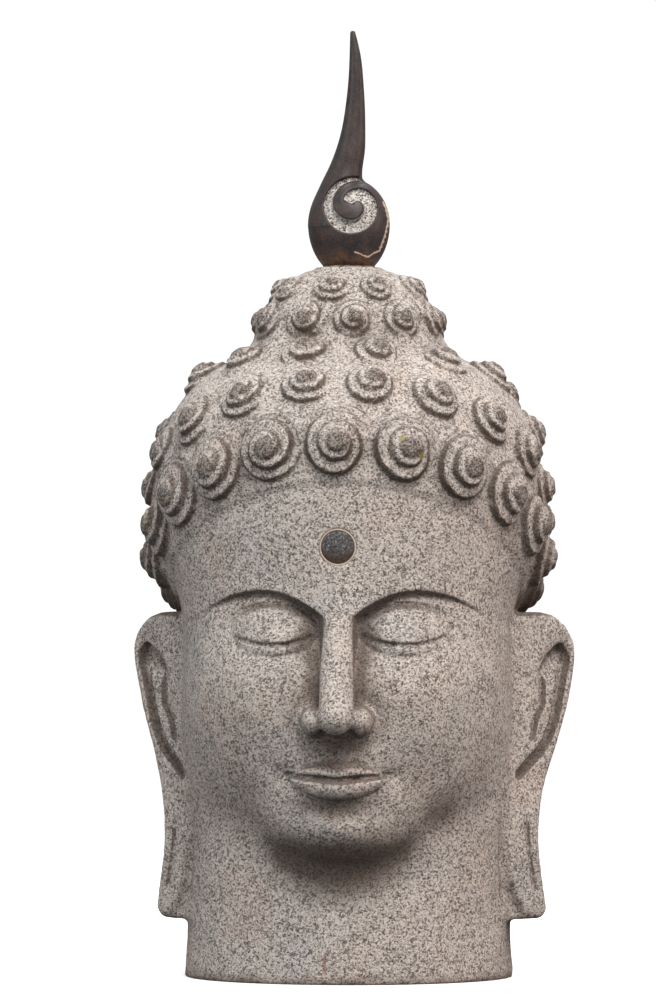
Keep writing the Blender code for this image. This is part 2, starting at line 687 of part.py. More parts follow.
def cut_box(target, name, low, high, cutters):
    low, high = Vector(low), Vector(high)
    bpy.ops.mesh.primitive_cube_add(size=1, location=(low + high) / 2, scale=high - low)
    bpy.ops.object.transform_apply(location=False, rotation=False, scale=True)
    cut_away(target, name, cutters)


def disc_place():
    """Where the forehead carries the disc, the way it faces, and that as a rotation."""
    point, normal = surface_along(haired_head, (0, 0, DISC_UP), (0, -1, 0))
    outward = Vector(normal)
    return Vector(point) * PART, outward, outward.to_track_quat("Z", "Y").to_euler()


def build_head(parts, cutters):
    head = new_object("head", thinned(curled_stone(), HEAD_TRIANGLES), parts, STONE)
    wide = 2 * max(SKULL_RADII) * PART
    cut_box(head, "underside_cut", (-wide, -wide, -wide), (wide, wide, 0), cutters)
    seat = (SEAT_RADIUS + SPARE) * PART
    top = STONE_HEIGHT
    cut_box(head, "seat_cut", (-seat, -seat, top), (seat, seat, top + seat), cutters)
    point, _, turned = disc_place()
    radius = DISC_DIAMETER / 2 + DISC_GAP
    bpy.ops.mesh.primitive_cylinder_add(
        vertices=DISC_SIDES, radius=radius, depth=2 * DISC_DEPTH, location=point, rotation=turned
    )
    cut_away(head, "disc_recess_cut", cutters)


def build_disc(parts):
    length = DISC_DEPTH - DISC_SUNK - SEAT_GAP
    radius = DISC_DIAMETER / 2
    bm = bmesh.new()
    bmesh.ops.create_cone(
        bm, cap_ends=True, segments=DISC_SIDES, radius1=radius, radius2=radius, depth=length
    )
    mesh = bpy.data.meshes.new("forehead_disc")
    bm.to_mesh(mesh)
    bm.free()
    disc = new_object("forehead_disc", mesh, parts, DARK_STONE)
    point, outward, turned = disc_place()
    disc.location = point - outward * (DISC_SUNK + length / 2)
    disc.rotation_euler = turned
    edge = disc.modifiers.new("edge", "BEVEL")
    edge.width = DISC_BEVEL
    edge.segments = 1


def build_finial(parts, cutters):
    mesh = reskinned(flame_block(), FLAME_VOXEL * FLAME_PART)
    carve(mesh, flame_form, FLAME_PART)
    mesh = reskinned(mesh, FLAME_VOXEL * FLAME_PART)
    carve(mesh, flame_form, FLAME_PART, rounds=5)
    finial = new_object("flame_finial", thinned(mesh, FLAME_TRIANGLES), parts, DARK_STONE)
    foot = STONE_HEIGHT + SEAT_GAP
    finial.location.z = foot
    wide = 2 * BULB_RADII[0] * FLAME_PART
    cut_box(finial, "finial_foot_cut", (-wide, -wide, foot - wide), (wide, wide, foot), cutters)


def main():
    for old in list(bpy.data.objects):
        bpy.data.objects.remove(old)
    parts = bpy.data.collections.new("stone_head")
    cutters = bpy.data.collections.new("cutters")
    bpy.context.scene.collection.children.link(parts)
    bpy.context.scene.collection.children.link(cutters)
    build_head(parts, cutters)
    build_disc(parts)
    build_finial(parts, cutters)


if __name__ == "__main__":
    main()
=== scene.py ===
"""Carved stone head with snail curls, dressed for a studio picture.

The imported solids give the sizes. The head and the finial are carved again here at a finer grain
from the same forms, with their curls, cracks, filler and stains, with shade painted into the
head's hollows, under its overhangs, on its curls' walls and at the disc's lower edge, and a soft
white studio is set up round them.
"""

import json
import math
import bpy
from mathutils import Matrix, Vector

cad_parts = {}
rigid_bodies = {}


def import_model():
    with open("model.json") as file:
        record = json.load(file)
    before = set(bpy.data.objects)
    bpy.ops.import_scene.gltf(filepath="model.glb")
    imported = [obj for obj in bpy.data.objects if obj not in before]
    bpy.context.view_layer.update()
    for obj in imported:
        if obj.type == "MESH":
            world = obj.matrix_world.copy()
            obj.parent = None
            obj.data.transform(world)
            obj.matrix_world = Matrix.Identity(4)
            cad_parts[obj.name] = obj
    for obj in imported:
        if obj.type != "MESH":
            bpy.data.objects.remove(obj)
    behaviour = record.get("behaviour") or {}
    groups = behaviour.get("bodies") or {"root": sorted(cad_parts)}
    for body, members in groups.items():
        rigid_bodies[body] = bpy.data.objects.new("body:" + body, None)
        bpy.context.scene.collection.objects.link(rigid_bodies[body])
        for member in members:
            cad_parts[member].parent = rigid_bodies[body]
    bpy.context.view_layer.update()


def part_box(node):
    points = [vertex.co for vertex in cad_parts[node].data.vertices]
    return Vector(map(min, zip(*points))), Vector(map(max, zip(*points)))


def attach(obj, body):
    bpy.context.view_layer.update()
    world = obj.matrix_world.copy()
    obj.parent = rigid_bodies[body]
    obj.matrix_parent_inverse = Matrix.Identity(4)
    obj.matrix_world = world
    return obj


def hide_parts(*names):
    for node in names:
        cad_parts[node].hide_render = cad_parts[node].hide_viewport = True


bl_info = {
    "name": "Carved Stone Head",
    "version": (1, 0, 0),
    "blender": (4, 5, 0),
    "location": "View3D > Sidebar > Stone Head",
    "description": "Carves a stone head with snail curls and a flame finial, and lights it",
    "category": "Object",
}

import bmesh
import bpy
import numpy as np
from bpy.props import FloatProperty, FloatVectorProperty, IntProperty, PointerProperty
from mathutils import Matrix, Vector, noise
from mathutils.bvhtree import BVHTree

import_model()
HEAD_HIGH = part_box("head")[1]
DISC_LOW, DISC_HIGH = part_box("forehead_disc")
FINIAL_LOW, FINIAL_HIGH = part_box("flame_finial")

MM = 0.001

# The carver's units: a 450th of the stone's height, and a 150th of the finial's
PART = HEAD_HIGH.z / 450
FLAME_PART = (FINIAL_HIGH.z - FINIAL_LOW.z) / 150

# The face is three equal thirds from chin to hairline, and five eyes wide
CHIN = 76
HAIRLINE = 318
THIRD = (HAIRLINE - CHIN) / 3
BROW = CHIN + 2 * THIRD
NOSE_BASE = CHIN + THIRD
MOUTH = NOSE_BASE - THIRD / 3
EYE = BROW - 0.21 * THIRD
EYE_WIDTH = 41
SKULL_CENTRE = (0, 5, 284)
SKULL_RADII = (117, 120, 110)
SKULL_SQUARENESS = 3.0
FACE_CENTRE = (0, -31, 184)
FACE_RADII = (101, 88, 109)
JAW_CENTRE = (0, -14, 150)
JAW_RADII = (93, 84, 73)
CHIN_CENTRE = (0, -80, 103)
CHIN_RADII = (43, 28, 27)
NECK_RADII = (104, 89)
NECK_TOP = 215
NECK_FOOT = -20
NECK_WAIST = 2

# The face's relief, ahead of the ears only
RELIEF_STARTS = -25
RELIEF_FULL = -62
BROW_RISE = 9
BROW_PEAK = 50
BROW_BEND = 0.0098
BROW_CUT = (1.3, 1.5)
LID_RADII = (0.68 * EYE_WIDTH, 16)
LID_RISE = 6.5
LID_SAG = 5
LID_FOLD = (1.2, 1.6)
SLIT = (2.2, 1.3)
LOWER_LID = 1.8
LIP_HALF_WIDTH = 31
UPPER_LIP = (10.5, 4.6)
LOWER_LIP = (13.5, 6.2)
BOW_DIP = 2.4
LIP_CREASE = (3.2, 1.5)
PHILTRUM = (1.6, 3.6)

# Swellings and hollows of the face: across, up, half width, half height, rise
FACE_MOUNDS = (
    (0, MOUTH, 40, 25, 7),
    (0, MOUTH - 21, 24, 7, -3.5),
    (0, CHIN + 20, 24, 17, 5.5),
    (56, NOSE_BASE + 20, 30, 30, 5),
    (35, MOUTH + 1, 6, 7, -2.2),
)
NOSE_ROOT = (0, -105, BROW + 6)
NOSE_ROOT_RADIUS = 9
NOSE_TIP = (0, -137, NOSE_BASE + 12)
NOSE_TIP_RADIUS = 11
NOSE_WING = (13.5, -122, NOSE_BASE + 9)
NOSE_WING_RADII = (9, 15, 9.5)
SEPTUM_FOOT = (0, -121, NOSE_BASE + 4)
SEPTUM_RADII = (6, 4.5)
NOSTRIL = (8, -128, NOSE_BASE + 0.5)
NOSTRIL_RADII = (3.6, 6.5, 4)

# The hair ends on a plane that tips back, high over the forehead and low at the nape
HAIRLINE_FRONT = -122
HAIRLINE_TILT = math.radians(33)
HAIR_STEP = 2.5
HAIR_SWELL = 3.5
HAIR_SWELLS_OVER = 25
TOPKNOT_CENTRE = (0, 4, 386)
TOPKNOT_RADII = (58, 56, 65)
TOPKNOT_SQUARENESS = 2.5
SEAT_TOP = 450
SEAT_FLARE = 0.5
SEAT_DEPTH = 12
SEAT_MARGIN = 2.5
SPARE = 8

# Curls: each ring round the topknot is (height, count, first one's place as a share of the
# spacing, radius). Each ring over the scalp has a pole that tips back: (tip, angle from the pole,
# count, first one's place, radius, least distance to a neighbour as a share of both radii).
TOPKNOT_ROOM = 0.6
TOPKNOT_RINGS = (
    (416, 11, 0.21, 13.5),
    (436.5, 9, 0.7, 11.5),
)
SCALP_RINGS = (
    (31, 97, 19, 0.0, 20.5, 0.5),
    (34, 81.5, 20, 0.5, 17.0, 0.72),
    (15, 47, 13, 0.5, 16.5, 0.5),
    (25, 62, 17, 0.0, 17.0, 0.8),
    (26, 84, 20, 0.5, 17.0, 0.8),
    (15, 66, 16, 0.5, 17.0, 0.8),
    (6, 40, 11, 0.0, 16.0, 0.8),
)

# One snail curl, in shares of its radius: where its winding wall stands after each whole turn
# inwards from the tail, and how far it climbs
WALL_TURNS = (0, 0.86, 1.1, 1.9, 2.12, 3)
WALL_RADII = (0.99, 0.95, 0.66, 0.56, 0.36, 0.28)
RISE_TURNS = (0, 0.25, 1, 2, 3)
RISES = (0, 0.19, 0.22, 0.2, 0.1)
WALL_THICKNESS = 0.065
KNOB_RADIUS = 0.32
KNOB_TOP = 0.56
SKIRT = 1.26
SKIRT_DROP = 0.1
SKIRT_RIDGE = (1.13, 0.05, 0.05)
SKIRT_FOOT = 0.5
ROOT_DEPTH = 0.8
SHAPES_PER_HAND = 4

# Ears: plates that start at the cheek and swing out and back, with long lobes
EAR_ROOT = (98, -6)
EAR_SWING = math.radians(41)
EAR_BOTTOM = 37
EAR_TOP = 231
EAR_BEHIND = 40
EAR_HALF_THICKNESS = 9
EAR_HEIGHTS = (0.0, 0.1, 0.22, 0.45, 0.58, 0.71, 0.88, 1.0)
EAR_REACH_LEFT = (27.5, 24.8, 20.2, 24.2, 32, 40.7, 48.5, 47)
EAR_REACH_RIGHT = (33, 29.4, 25.6, 30, 40.3, 48.8, 54.3, 51)
EAR_TOP_CORNER = 25
EAR_LOBE_CORNER = 9
EAR_EDGE = 5
LOBE_FORWARD = 6

# Cut into the ears, as (in from the outer edge, up) points: a hollow under the rim with an arched
# roof that the rim's face falls back to, a channel inside the rim that hooks in to the cheek, a
# groove inside that, and a slit down the lobe. Each groove has its half width and depth.
EAR_ARCH = ((6.5, 203), (8.5, 208), (13, 211.3), (18.5, 208.5), (24.5, 203.5), (30, 195))
EAR_ARCH_DEPTH = 8
EAR_ARCH_FADES = (184, 208)
EAR_ARCH_FACET = (2.0, 10)
EAR_WALL = 0.9
EAR_CHANNEL = ((11, 202), (11, 178), (10, 168), (10, 160), (10.8, 152), (14, 143), (24.5, 129.5))
EAR_GROOVES = (
    (EAR_CHANNEL, 3.6, 4.5),
    (((28, 191), (25, 182), (22.5, 172), (25.5, 163), (24, 152)), 2.0, 2.5),
    (((11.5, 98), (11, 85), (10.2, 72), (10, 56)), 1.2, 2.6),
)

# A dark gutter parts each lobe from the neck and runs out under the lobe: places and radii
GUTTER = (
    ((102, -27, 127), 2.5),
    ((102, -26, 76), 5.5),
    ((104, -23, 55), 6.5),
    ((109, -18, 42), 6.5),
    ((114, -14, 30), 5.5),
)

# The disc let into the forehead
DISC_UP = 273
DISC_RADIUS = (DISC_HIGH.x - DISC_LOW.x) / 2
DISC_DEPTH = 8.1 * MM
RECESS_RADIUS = 11.3 * MM
RECESS_DEPTH = 9 * MM

# The finial: a bulb, and a flame that leans left, then right, to its point
BULB_LEAN = 0.3
BULB_MIDDLE = 27
BULB_RADII = (26, 20, 29.5)
BULB_DROP = 34
FLAME_TALL = 150
FLAME_HEIGHTS = (27, 51, 63, 72, 85.5, 102, 118.5, 135, 150)
FLAME_LEAN = (-4, -4.6, -1.8, 0.7, 3.0, 4.3, 4.7, 4.2, 2.6)
FLAME_HALF_WIDTH = (20, 13.8, 10.8, 9.6, 7.8, 6.2, 4.8, 3.5, 1.5)
FLAME_TIP = 1.5
FLAME_FLATNESS = 1.15
FLAME_STATIONS = 24
SPIRAL_EYE = (4.8, 38.6)
SPIRAL_START = 75
SPIRAL_TIGHTENS = 175
SPIRAL_END = 525
SPIRAL_RADIUS = 17
SPIRAL_PITCH = 14
SPIRAL_WIDTH = 8.4
SPIRAL_WIDTH_AT_START = 2.4
SPIRAL_DEPTH = 4.5
SPIRAL_BANK = 0.7
FOOT_RADIUS = BULB_RADII[0] * math.sqrt(1 - (BULB_MIDDLE / BULB_DROP) ** 2)
SEAT_RADIUS = FOOT_RADIUS * FLAME_PART / PART + SEAT_MARGIN

# A mended break in the finial's front, as (across, up) from its foot
MENDED_BREAK = (
    (22.2, 40.9),
    (24.2, 37.0),
    (25.7, 29.2),
    (23.7, 19.5),
    (20.3, 10.3),
    (13.0, 6.1),
    (5.3, 8.8),
)


# Forms


def smoothstep(low, high, value):
    t = np.clip((value - low) / (high - low), 0, 1)
    return t * t * (3 - 2 * t)


def smooth_union(a, b, blend):
    h = np.maximum(blend - np.abs(a - b), 0) / blend
    return np.minimum(a, b) - h * h * blend / 4


def bell(distance, half):
    return np.exp(-((distance / half) ** 2))


def dome(x, z, centre_x, centre_z, half_x, half_z, rise):
    """A swelling with an edge of its own, such as a lid."""
    q = ((x - centre_x) / half_x) ** 2 + ((z - centre_z) / half_z) ** 2
    return rise * np.maximum(1 - q, 0) ** 0.7


def spline(at, knots, values):
    """A natural cubic curve through a few points."""
    knots, values = np.array(knots, float), np.array(values, float)
    gaps, count = np.diff(knots), len(knots)
    rises = np.diff(values) / gaps
    rows, right = np.eye(count), np.zeros(count)
    for i in range(1, count - 1):
        rows[i, i - 1 : i + 2] = gaps[i - 1], 2 * (gaps[i - 1] + gaps[i]), gaps[i]
        right[i] = 6 * (rises[i] - rises[i - 1])
    bends = np.linalg.solve(rows, right)
    at = np.clip(at, knots[0], knots[-1])
    i = np.clip(np.searchsorted(knots, at) - 1, 0, count - 2)
    a, b = (knots[i + 1] - at) / gaps[i], (at - knots[i]) / gaps[i]
    curve = ((a**3 - a) * bends[i] + (b**3 - b) * bends[i + 1]) * gaps[i] ** 2 / 6
    return a * values[i] + b * values[i + 1] + curve


def ellipsoid(p, centre, radii):
    q = (p - np.array(centre)) / np.array(radii, float)
    near = np.linalg.norm(q, axis=1)
    return near * (near - 1) / np.maximum(np.linalg.norm(q / np.array(radii), axis=1), 1e-9)


def skull(p):
    """An ellipsoid whose upper half is squarer, seen from the front or the side."""
    x, y, z = ((p - np.array(SKULL_CENTRE)) / np.array(SKULL_RADII, float)).T
    power = np.where(z > 0, SKULL_SQUARENESS, 2)
    level, up = np.maximum(np.hypot(x, y), 1e-9), np.maximum(np.abs(z), 1e-9)
    near = (level**power + up**power) ** (1 / power)
    across = np.hypot(x / SKULL_RADII[0], y / SKULL_RADII[1]) * level ** (power - 2)
    steep = np.hypot(across, up ** (power - 1) / SKULL_RADII[2])
    return near ** (power - 1) * (near - 1) / np.maximum(steep, 1e-9)


def round_cone(p, top, foot, top_radius, foot_radius):
    """A tapering bar with round ends."""
    top, foot = np.array(top, float), np.array(foot, float)
    run = foot - top
    share = np.clip((p - top) @ run / (run @ run), 0, 1)
    nearest = np.linalg.norm(p - top - share[:, None] * run, axis=1)
    return nearest - top_radius - (foot_radius - top_radius) * share


def brow_line(x):
    """Height of the brow's edge at x: an arch that springs from the root of the nose."""
    return BROW + BROW_RISE - BROW_BEND * (x - BROW_PEAK) ** 2


def lid_line(x):
    """Where the closed lids meet: a shallow curve that sags in the middle."""
    return EYE - 3 - LID_SAG * (1 - ((x - EYE_WIDTH) / (0.62 * EYE_WIDTH)) ** 2)


def mouth_line(x):
    return MOUTH + 2.0 * (x / LIP_HALF_WIDTH) ** 2 - bell(x, 7)


def sockets(x, z):
    """The hollow between the brow's edge and the cheek, with a fine cut along the edge."""
    below = brow_line(x) - z
    depth = 4.5 + 4.5 * bell(x - 17, 14) - 4.0 * smoothstep(55, 92, x)
    across = smoothstep(4, 13, x) * smoothstep(98, 84, x)
    hollow = depth * smoothstep(-1, 3.5, below) * smoothstep(46, 16, below)
    return -(hollow + BROW_CUT[0] * bell(below - 2.5, BROW_CUT[1])) * across


def eyes(x, z):
    from_middle = np.abs(x - EYE_WIDTH)
    lids = dome(x, z, EYE_WIDTH, EYE + 1, *LID_RADII, LID_RISE)
    below = smoothstep(1, -1, z - lid_line(x)) * (from_middle < LID_RADII[0])
    lower = LOWER_LID * below * dome(x, z, EYE_WIDTH, EYE, LID_RADII[0], 18, 1)
    slit = SLIT[0] * bell(z - lid_line(x), SLIT[1]) * smoothstep(29, 22, from_middle)
    rim = ((x - EYE_WIDTH) / LID_RADII[0]) ** 2 + ((z - EYE - 1) / LID_RADII[1]) ** 2
    fold = bell((np.sqrt(rim) - 1) * LID_RADII[1], LID_FOLD[1]) * smoothstep(EYE - 2, EYE + 4, z)
    return lids - lower - slit - LID_FOLD[0] * fold


def lips(x, z):
    across = np.maximum(1 - (x / LIP_HALF_WIDTH) ** 2, 0)
    line = mouth_line(x)
    top = MOUTH + UPPER_LIP[0] * across**0.8 - BOW_DIP * bell(x, 5)
    foot = MOUTH - LOWER_LIP[0] * across**0.7
    up = np.clip((z - line) / np.maximum(top - line, 0.5), 0, 1.3)
    down = np.clip((line - z) / np.maximum(line - foot, 0.5), 0, 1.3)
    upper = UPPER_LIP[1] * np.maximum(1 - ((up - 0.35) / 0.68) ** 2, 0) ** 0.7 * (z >= line)
    lower = LOWER_LIP[1] * np.maximum(1 - ((down - 0.42) / 0.60) ** 2, 0) ** 0.7 * (z < line)
    crease = LIP_CREASE[0] * bell(z - line, LIP_CREASE[1])
    crease *= smoothstep(LIP_HALF_WIDTH + 5, LIP_HALF_WIDTH - 2, x)
    return (upper + lower) * across**0.5 - crease


def philtrum(x, z):
    between = smoothstep(MOUTH + 6, MOUTH + 12, z) * smoothstep(NOSE_BASE + 3, NOSE_BASE - 4, z)
    return -PHILTRUM[0] * bell(x, PHILTRUM[1]) * between


def face_relief(x, z):
    """How far the face stands forward of the bare form, at |x| and z."""
    relief = sockets(x, z) + eyes(x, z) + lips(x, z) + philtrum(x, z)
    for across, up, half_x, half_z, rise in FACE_MOUNDS:
        relief = relief + rise * bell(x - across, half_x) * bell(z - up, half_z)
    return relief


def nose(p):
    """A straight ridge with a round tip and two wings. p has |x| in its first column."""
    ridge = round_cone(p, NOSE_ROOT, NOSE_TIP, NOSE_ROOT_RADIUS, NOSE_TIP_RADIUS)
    septum = round_cone(p, NOSE_TIP, SEPTUM_FOOT, *SEPTUM_RADII)
    wing = ellipsoid(p, NOSE_WING, NOSE_WING_RADII)
    body = smooth_union(smooth_union(ridge, septum, 5), wing, 4)
    return -smooth_union(-body, ellipsoid(p, NOSTRIL, NOSTRIL_RADII), 2)


def bare_head(p):
    """The skull, face, jaw and neck before the hair, with the face's relief pushed forward."""
    x, y, z = np.abs(p[:, 0]), p[:, 1], p[:, 2]
    q = p.copy()
    q[:, 1] += face_relief(x, z) * smoothstep(RELIEF_STARTS, RELIEF_FULL, y)
    head = smooth_union(skull(q), ellipsoid(q, FACE_CENTRE, FACE_RADII), 30)
    head = smooth_union(head, ellipsoid(q, JAW_CENTRE, JAW_RADII), 24)
    head = smooth_union(head, ellipsoid(q, CHIN_CENTRE, CHIN_RADII), 26)
    head = smooth_union(head, nose(np.column_stack((x, y, z))), 7)
    waist = NECK_WAIST * np.sin(np.clip(z / 120, 0, 1) * math.pi)
    neck = (np.hypot(x / NECK_RADII[0], y / NECK_RADII[1]) - 1) * NECK_RADII[1] + waist
    neck = np.maximum(neck, np.maximum(z - NECK_TOP, NECK_FOOT - z))
    return smooth_union(head, neck, 9)


def above_hairline(p):
    """Signed height over the tilted plane that the hair ends on."""
    forward = (p[:, 1] - HAIRLINE_FRONT) * math.sin(HAIRLINE_TILT)
    return forward + (p[:, 2] - HAIRLINE) * math.cos(HAIRLINE_TILT)


def haired_head(p):
    """The head with its cap of hair, its topknot and the flared seat on the topknot."""
    up = above_hairline(p)
    hair = HAIR_STEP * smoothstep(-2, 2, up) + HAIR_SWELL * smoothstep(0, HAIR_SWELLS_OVER, up)
    head = bare_head(p) - hair
    q = np.abs((p - np.array(TOPKNOT_CENTRE)) / np.array(TOPKNOT_RADII, float))
    round_off = (q**TOPKNOT_SQUARENESS).sum(axis=1) ** (1 / TOPKNOT_SQUARENESS)
    head = smooth_union(head, (round_off - 1) * min(TOPKNOT_RADII), 22)
    under = SEAT_TOP - p[:, 2]
    seat = np.hypot(p[:, 0], p[:, 1]) - SEAT_RADIUS - SEAT_FLARE * np.maximum(under, 0)
    seat = np.maximum(seat, np.maximum(under - SEAT_DEPTH, -under - SPARE))
    return smooth_union(head, seat, 5)


def off_path(u, v, path):
    """Distance in a plane to a line through a few points."""
    away = np.full(len(u), 99.0)
    for (u0, v0), (u1, v1) in zip(path, path[1:]):
        run = np.array((u1 - u0, v1 - v0))
        share = np.clip(((u - u0) * run[0] + (v - v0) * run[1]) / (run @ run), 0, 1)
        away = np.minimum(away, np.hypot(u - u0 - share * run[0], v - v0 - share * run[1]))
    return away


def ear_outline(out, z, reach):
    """Signed distance in the ear's own plane to its outline."""
    middle, half = (EAR_TOP + EAR_BOTTOM) / 2, (EAR_TOP - EAR_BOTTOM) / 2
    corner = np.where(z > middle, EAR_TOP_CORNER, EAR_LOBE_CORNER)
    across = np.abs(out - (reach - EAR_BEHIND) / 2) - (reach + EAR_BEHIND) / 2 + corner
    along = np.abs(z - middle) - half + corner
    rounded = np.hypot(np.maximum(across, 0), np.maximum(along, 0)) - corner
    return rounded + np.minimum(np.maximum(across, along), 0)


def ear_cuts(inward, z):
    """How deep the ear's front is cut, so far in from its outer edge and at this height."""
    arch_in, arch_up = zip(*EAR_ARCH)
    over = z - spline(inward, arch_in, arch_up)
    across = smoothstep(arch_in[0] - 1, arch_in[0] + 1, inward)
    across *= smoothstep(arch_in[-1] + 3, arch_in[-1] - 3, inward)
    cut = EAR_ARCH_DEPTH * smoothstep(EAR_WALL, -EAR_WALL, over) * smoothstep(*EAR_ARCH_FADES, z)
    cut = np.maximum(cut, EAR_ARCH_FACET[0] * smoothstep(EAR_ARCH_FACET[1], 0, over) * (over > 0))
    cut = cut * across
    for path, half, deep in EAR_GROOVES:
        groove = smoothstep(half + EAR_WALL, half - EAR_WALL, off_path(inward, z, path))
        cut = np.maximum(cut, deep * groove)
    return cut


def ear(p):
    """A plate with a thick rounded top, cuts in its front and a long lobe."""
    x, y, z = np.abs(p[:, 0]) - EAR_ROOT[0], p[:, 1] - EAR_ROOT[1], p[:, 2]
    y = y + LOBE_FORWARD * smoothstep(135, 90, z)
    out = x * math.cos(EAR_SWING) + y * math.sin(EAR_SWING)
    face = x * math.sin(EAR_SWING) - y * math.cos(EAR_SWING)
    height = (z - EAR_BOTTOM) / (EAR_TOP - EAR_BOTTOM)
    left, right = (spline(height, EAR_HEIGHTS, r) for r in (EAR_REACH_LEFT, EAR_REACH_RIGHT))
    reach = np.where(p[:, 0] > 0, right, left)
    edge = ear_outline(out, z, reach)
    cuts = ear_cuts(reach - out, z) * smoothstep(-3, 3, face)
    through = np.abs(face + cuts) - EAR_HALF_THICKNESS
    edge, through = edge + EAR_EDGE, through + EAR_EDGE
    rounded = np.hypot(np.maximum(edge, 0), np.maximum(through, 0)) - EAR_EDGE
    return rounded + np.minimum(np.maximum(edge, through), 0)


def head_form(p):
    """Signed distance, roughly, to the stone's surface without its curls. p is in PARTs."""
    stone = smooth_union(haired_head(p), ear(p), 4)
    sides = np.column_stack((np.abs(p[:, 0]), p[:, 1:]))
    for (top, top_radius), (foot, foot_radius) in zip(GUTTER, GUTTER[1:]):
        stone = -smooth_union(-stone, round_cone(sides, top, foot, top_radius, foot_radius), 3)
    stone = np.maximum(stone, np.maximum(-p[:, 2], p[:, 2] - SEAT_TOP))
    centre, outward = DISC_SPOT
    from_centre = p - np.array(centre)
    inward = -(from_centre @ np.array(outward))
    off_axis = np.sqrt(np.maximum((from_centre**2).sum(axis=1) - inward**2, 0))
    recess = np.maximum(off_axis - RECESS_RADIUS / PART, inward - RECESS_DEPTH / PART)
    return np.maximum(stone, -np.maximum(recess, -inward - SPARE))


def channel(x, z):
    """1 in the spiral channel of the bulb and 0 outside it, at x and z from the spiral's eye."""
    radius = np.hypot(x, z)
    turn = np.degrees(np.arctan2(z, x))
    turn = turn + np.where(turn < SPIRAL_START, 360, 0)
    shape = np.zeros_like(radius)
    for angle in (turn, turn + 360):
        middle = SPIRAL_RADIUS - SPIRAL_PITCH * np.maximum(angle - SPIRAL_TIGHTENS, 0) / 360
        widening = smoothstep(SPIRAL_START, SPIRAL_START + 180, angle)
        half = (SPIRAL_WIDTH_AT_START + (SPIRAL_WIDTH - SPIRAL_WIDTH_AT_START) * widening) / 2
        wall = smoothstep(half + SPIRAL_BANK, half - SPIRAL_BANK, np.abs(radius - middle))
        started = smoothstep(SPIRAL_START, SPIRAL_START + 10, angle)
        ended = smoothstep(SPIRAL_END, SPIRAL_END - 25, angle)
        shape = np.maximum(shape, wall * started * ended)
    return shape


def flame_form(p):
    """A bulb with a spiral channel on each broad side, drawn up into a leaning point."""
    x, y, z = p[:, 0], np.abs(p[:, 1]), p[:, 2]
    y = y + SPIRAL_DEPTH * channel(x - SPIRAL_EYE[0], z - SPIRAL_EYE[1]) * smoothstep(3, 8, y)
    upper = ellipsoid(np.column_stack((x, y, z)), (BULB_LEAN, 0, BULB_MIDDLE), BULB_RADII)
    lower_radii = (*BULB_RADII[:2], BULB_DROP)
    lower = ellipsoid(np.column_stack((x, y, z)), (BULB_LEAN, 0, BULB_MIDDLE), lower_radii)
    bulb = np.where(z > BULB_MIDDLE, upper, lower)
    below_tip = np.clip(z, 0, FLAME_TALL - FLAME_TIP)
    lean = spline(below_tip, FLAME_HEIGHTS, FLAME_LEAN)
    half = spline(below_tip, FLAME_HEIGHTS, FLAME_HALF_WIDTH)
    over = np.maximum(z - (FLAME_TALL - FLAME_TIP), 0)
    point = np.sqrt((x - lean) ** 2 + (y * FLAME_FLATNESS) ** 2 + over**2) - half
    whole = smooth_union(bulb, np.maximum(point, BULB_MIDDLE - z), 3)
    return np.maximum(whole, -p[:, 2])


def slope(field, p, reach=0.4):
    """The field's value at each point, and its slope along x, y and z."""
    here = field(p)
    steps = np.eye(3) * reach
    return here, np.stack([(field(p + step) - here) / reach for step in steps], axis=1)


def surface_along(field, start, direction, furthest=260):
    """Where a ray from inside the form leaves it, and the outward normal there."""
    start, direction = np.array(start, float), np.array(direction, float)
    near, far = 0.0, float(furthest)
    for _ in range(40):
        middle = (near + far) / 2
        inside = field((start + direction * middle)[None])[0] < 0
        near, far = (middle, far) if inside else (near, middle)
    point = start + direction * near
    normal = slope(field, point[None])[1][0]
    return point, normal / np.linalg.norm(normal)


DISC_SPOT = surface_along(haired_head, (0, 0, DISC_UP), (0, -1, 0))


def curl_places():
    """(centre, outward normal, radius, which way it winds) of every curl, ring by ring."""
    places = []

    def place(start, direction, radius, room):
        point, normal = surface_along(haired_head, start, direction)
        if point[2] > SEAT_TOP - SEAT_DEPTH:
            return
        for other, _, its_radius, _ in places:
            if np.linalg.norm(point - other) < room * (radius + its_radius):
                return
        places.append((point, normal, radius, 1 if point[0] >= 0 else -1))

    for height, count, offset, radius in TOPKNOT_RINGS:
        for i in range(count):
            turn = 2 * math.pi * (i + offset) / count
            direction = (math.sin(turn), -math.cos(turn), 0)
            place((0, TOPKNOT_CENTRE[1], height), direction, radius, TOPKNOT_ROOM)
    across = np.array((1.0, 0, 0))
    for tilt, angle, count, offset, radius, room in SCALP_RINGS:
        tilt, polar = math.radians(tilt), math.radians(angle)
        pole = np.array((0, math.sin(tilt), math.cos(tilt)))
        ahead = np.array((0, -math.cos(tilt), math.sin(tilt)))
        for i in range(count):
            turn = 2 * math.pi * (i + offset) / count
            ring = ahead * math.cos(turn) + across * math.sin(turn)
            place(SKULL_CENTRE, pole * math.cos(polar) + ring * math.sin(polar), radius, room)
    return places


# Meshes


def coordinates(mesh):
    block = np.empty(len(mesh.vertices) * 3)
    mesh.vertices.foreach_get("co", block)
    return block.reshape(-1, 3)


def put_back(mesh, block):
    mesh.vertices.foreach_set("co", block.ravel())
    mesh.update()


def normals(mesh):
    block = np.empty(len(mesh.vertices) * 3)
    mesh.vertices.foreach_get("normal", block)
    return block.reshape(-1, 3)


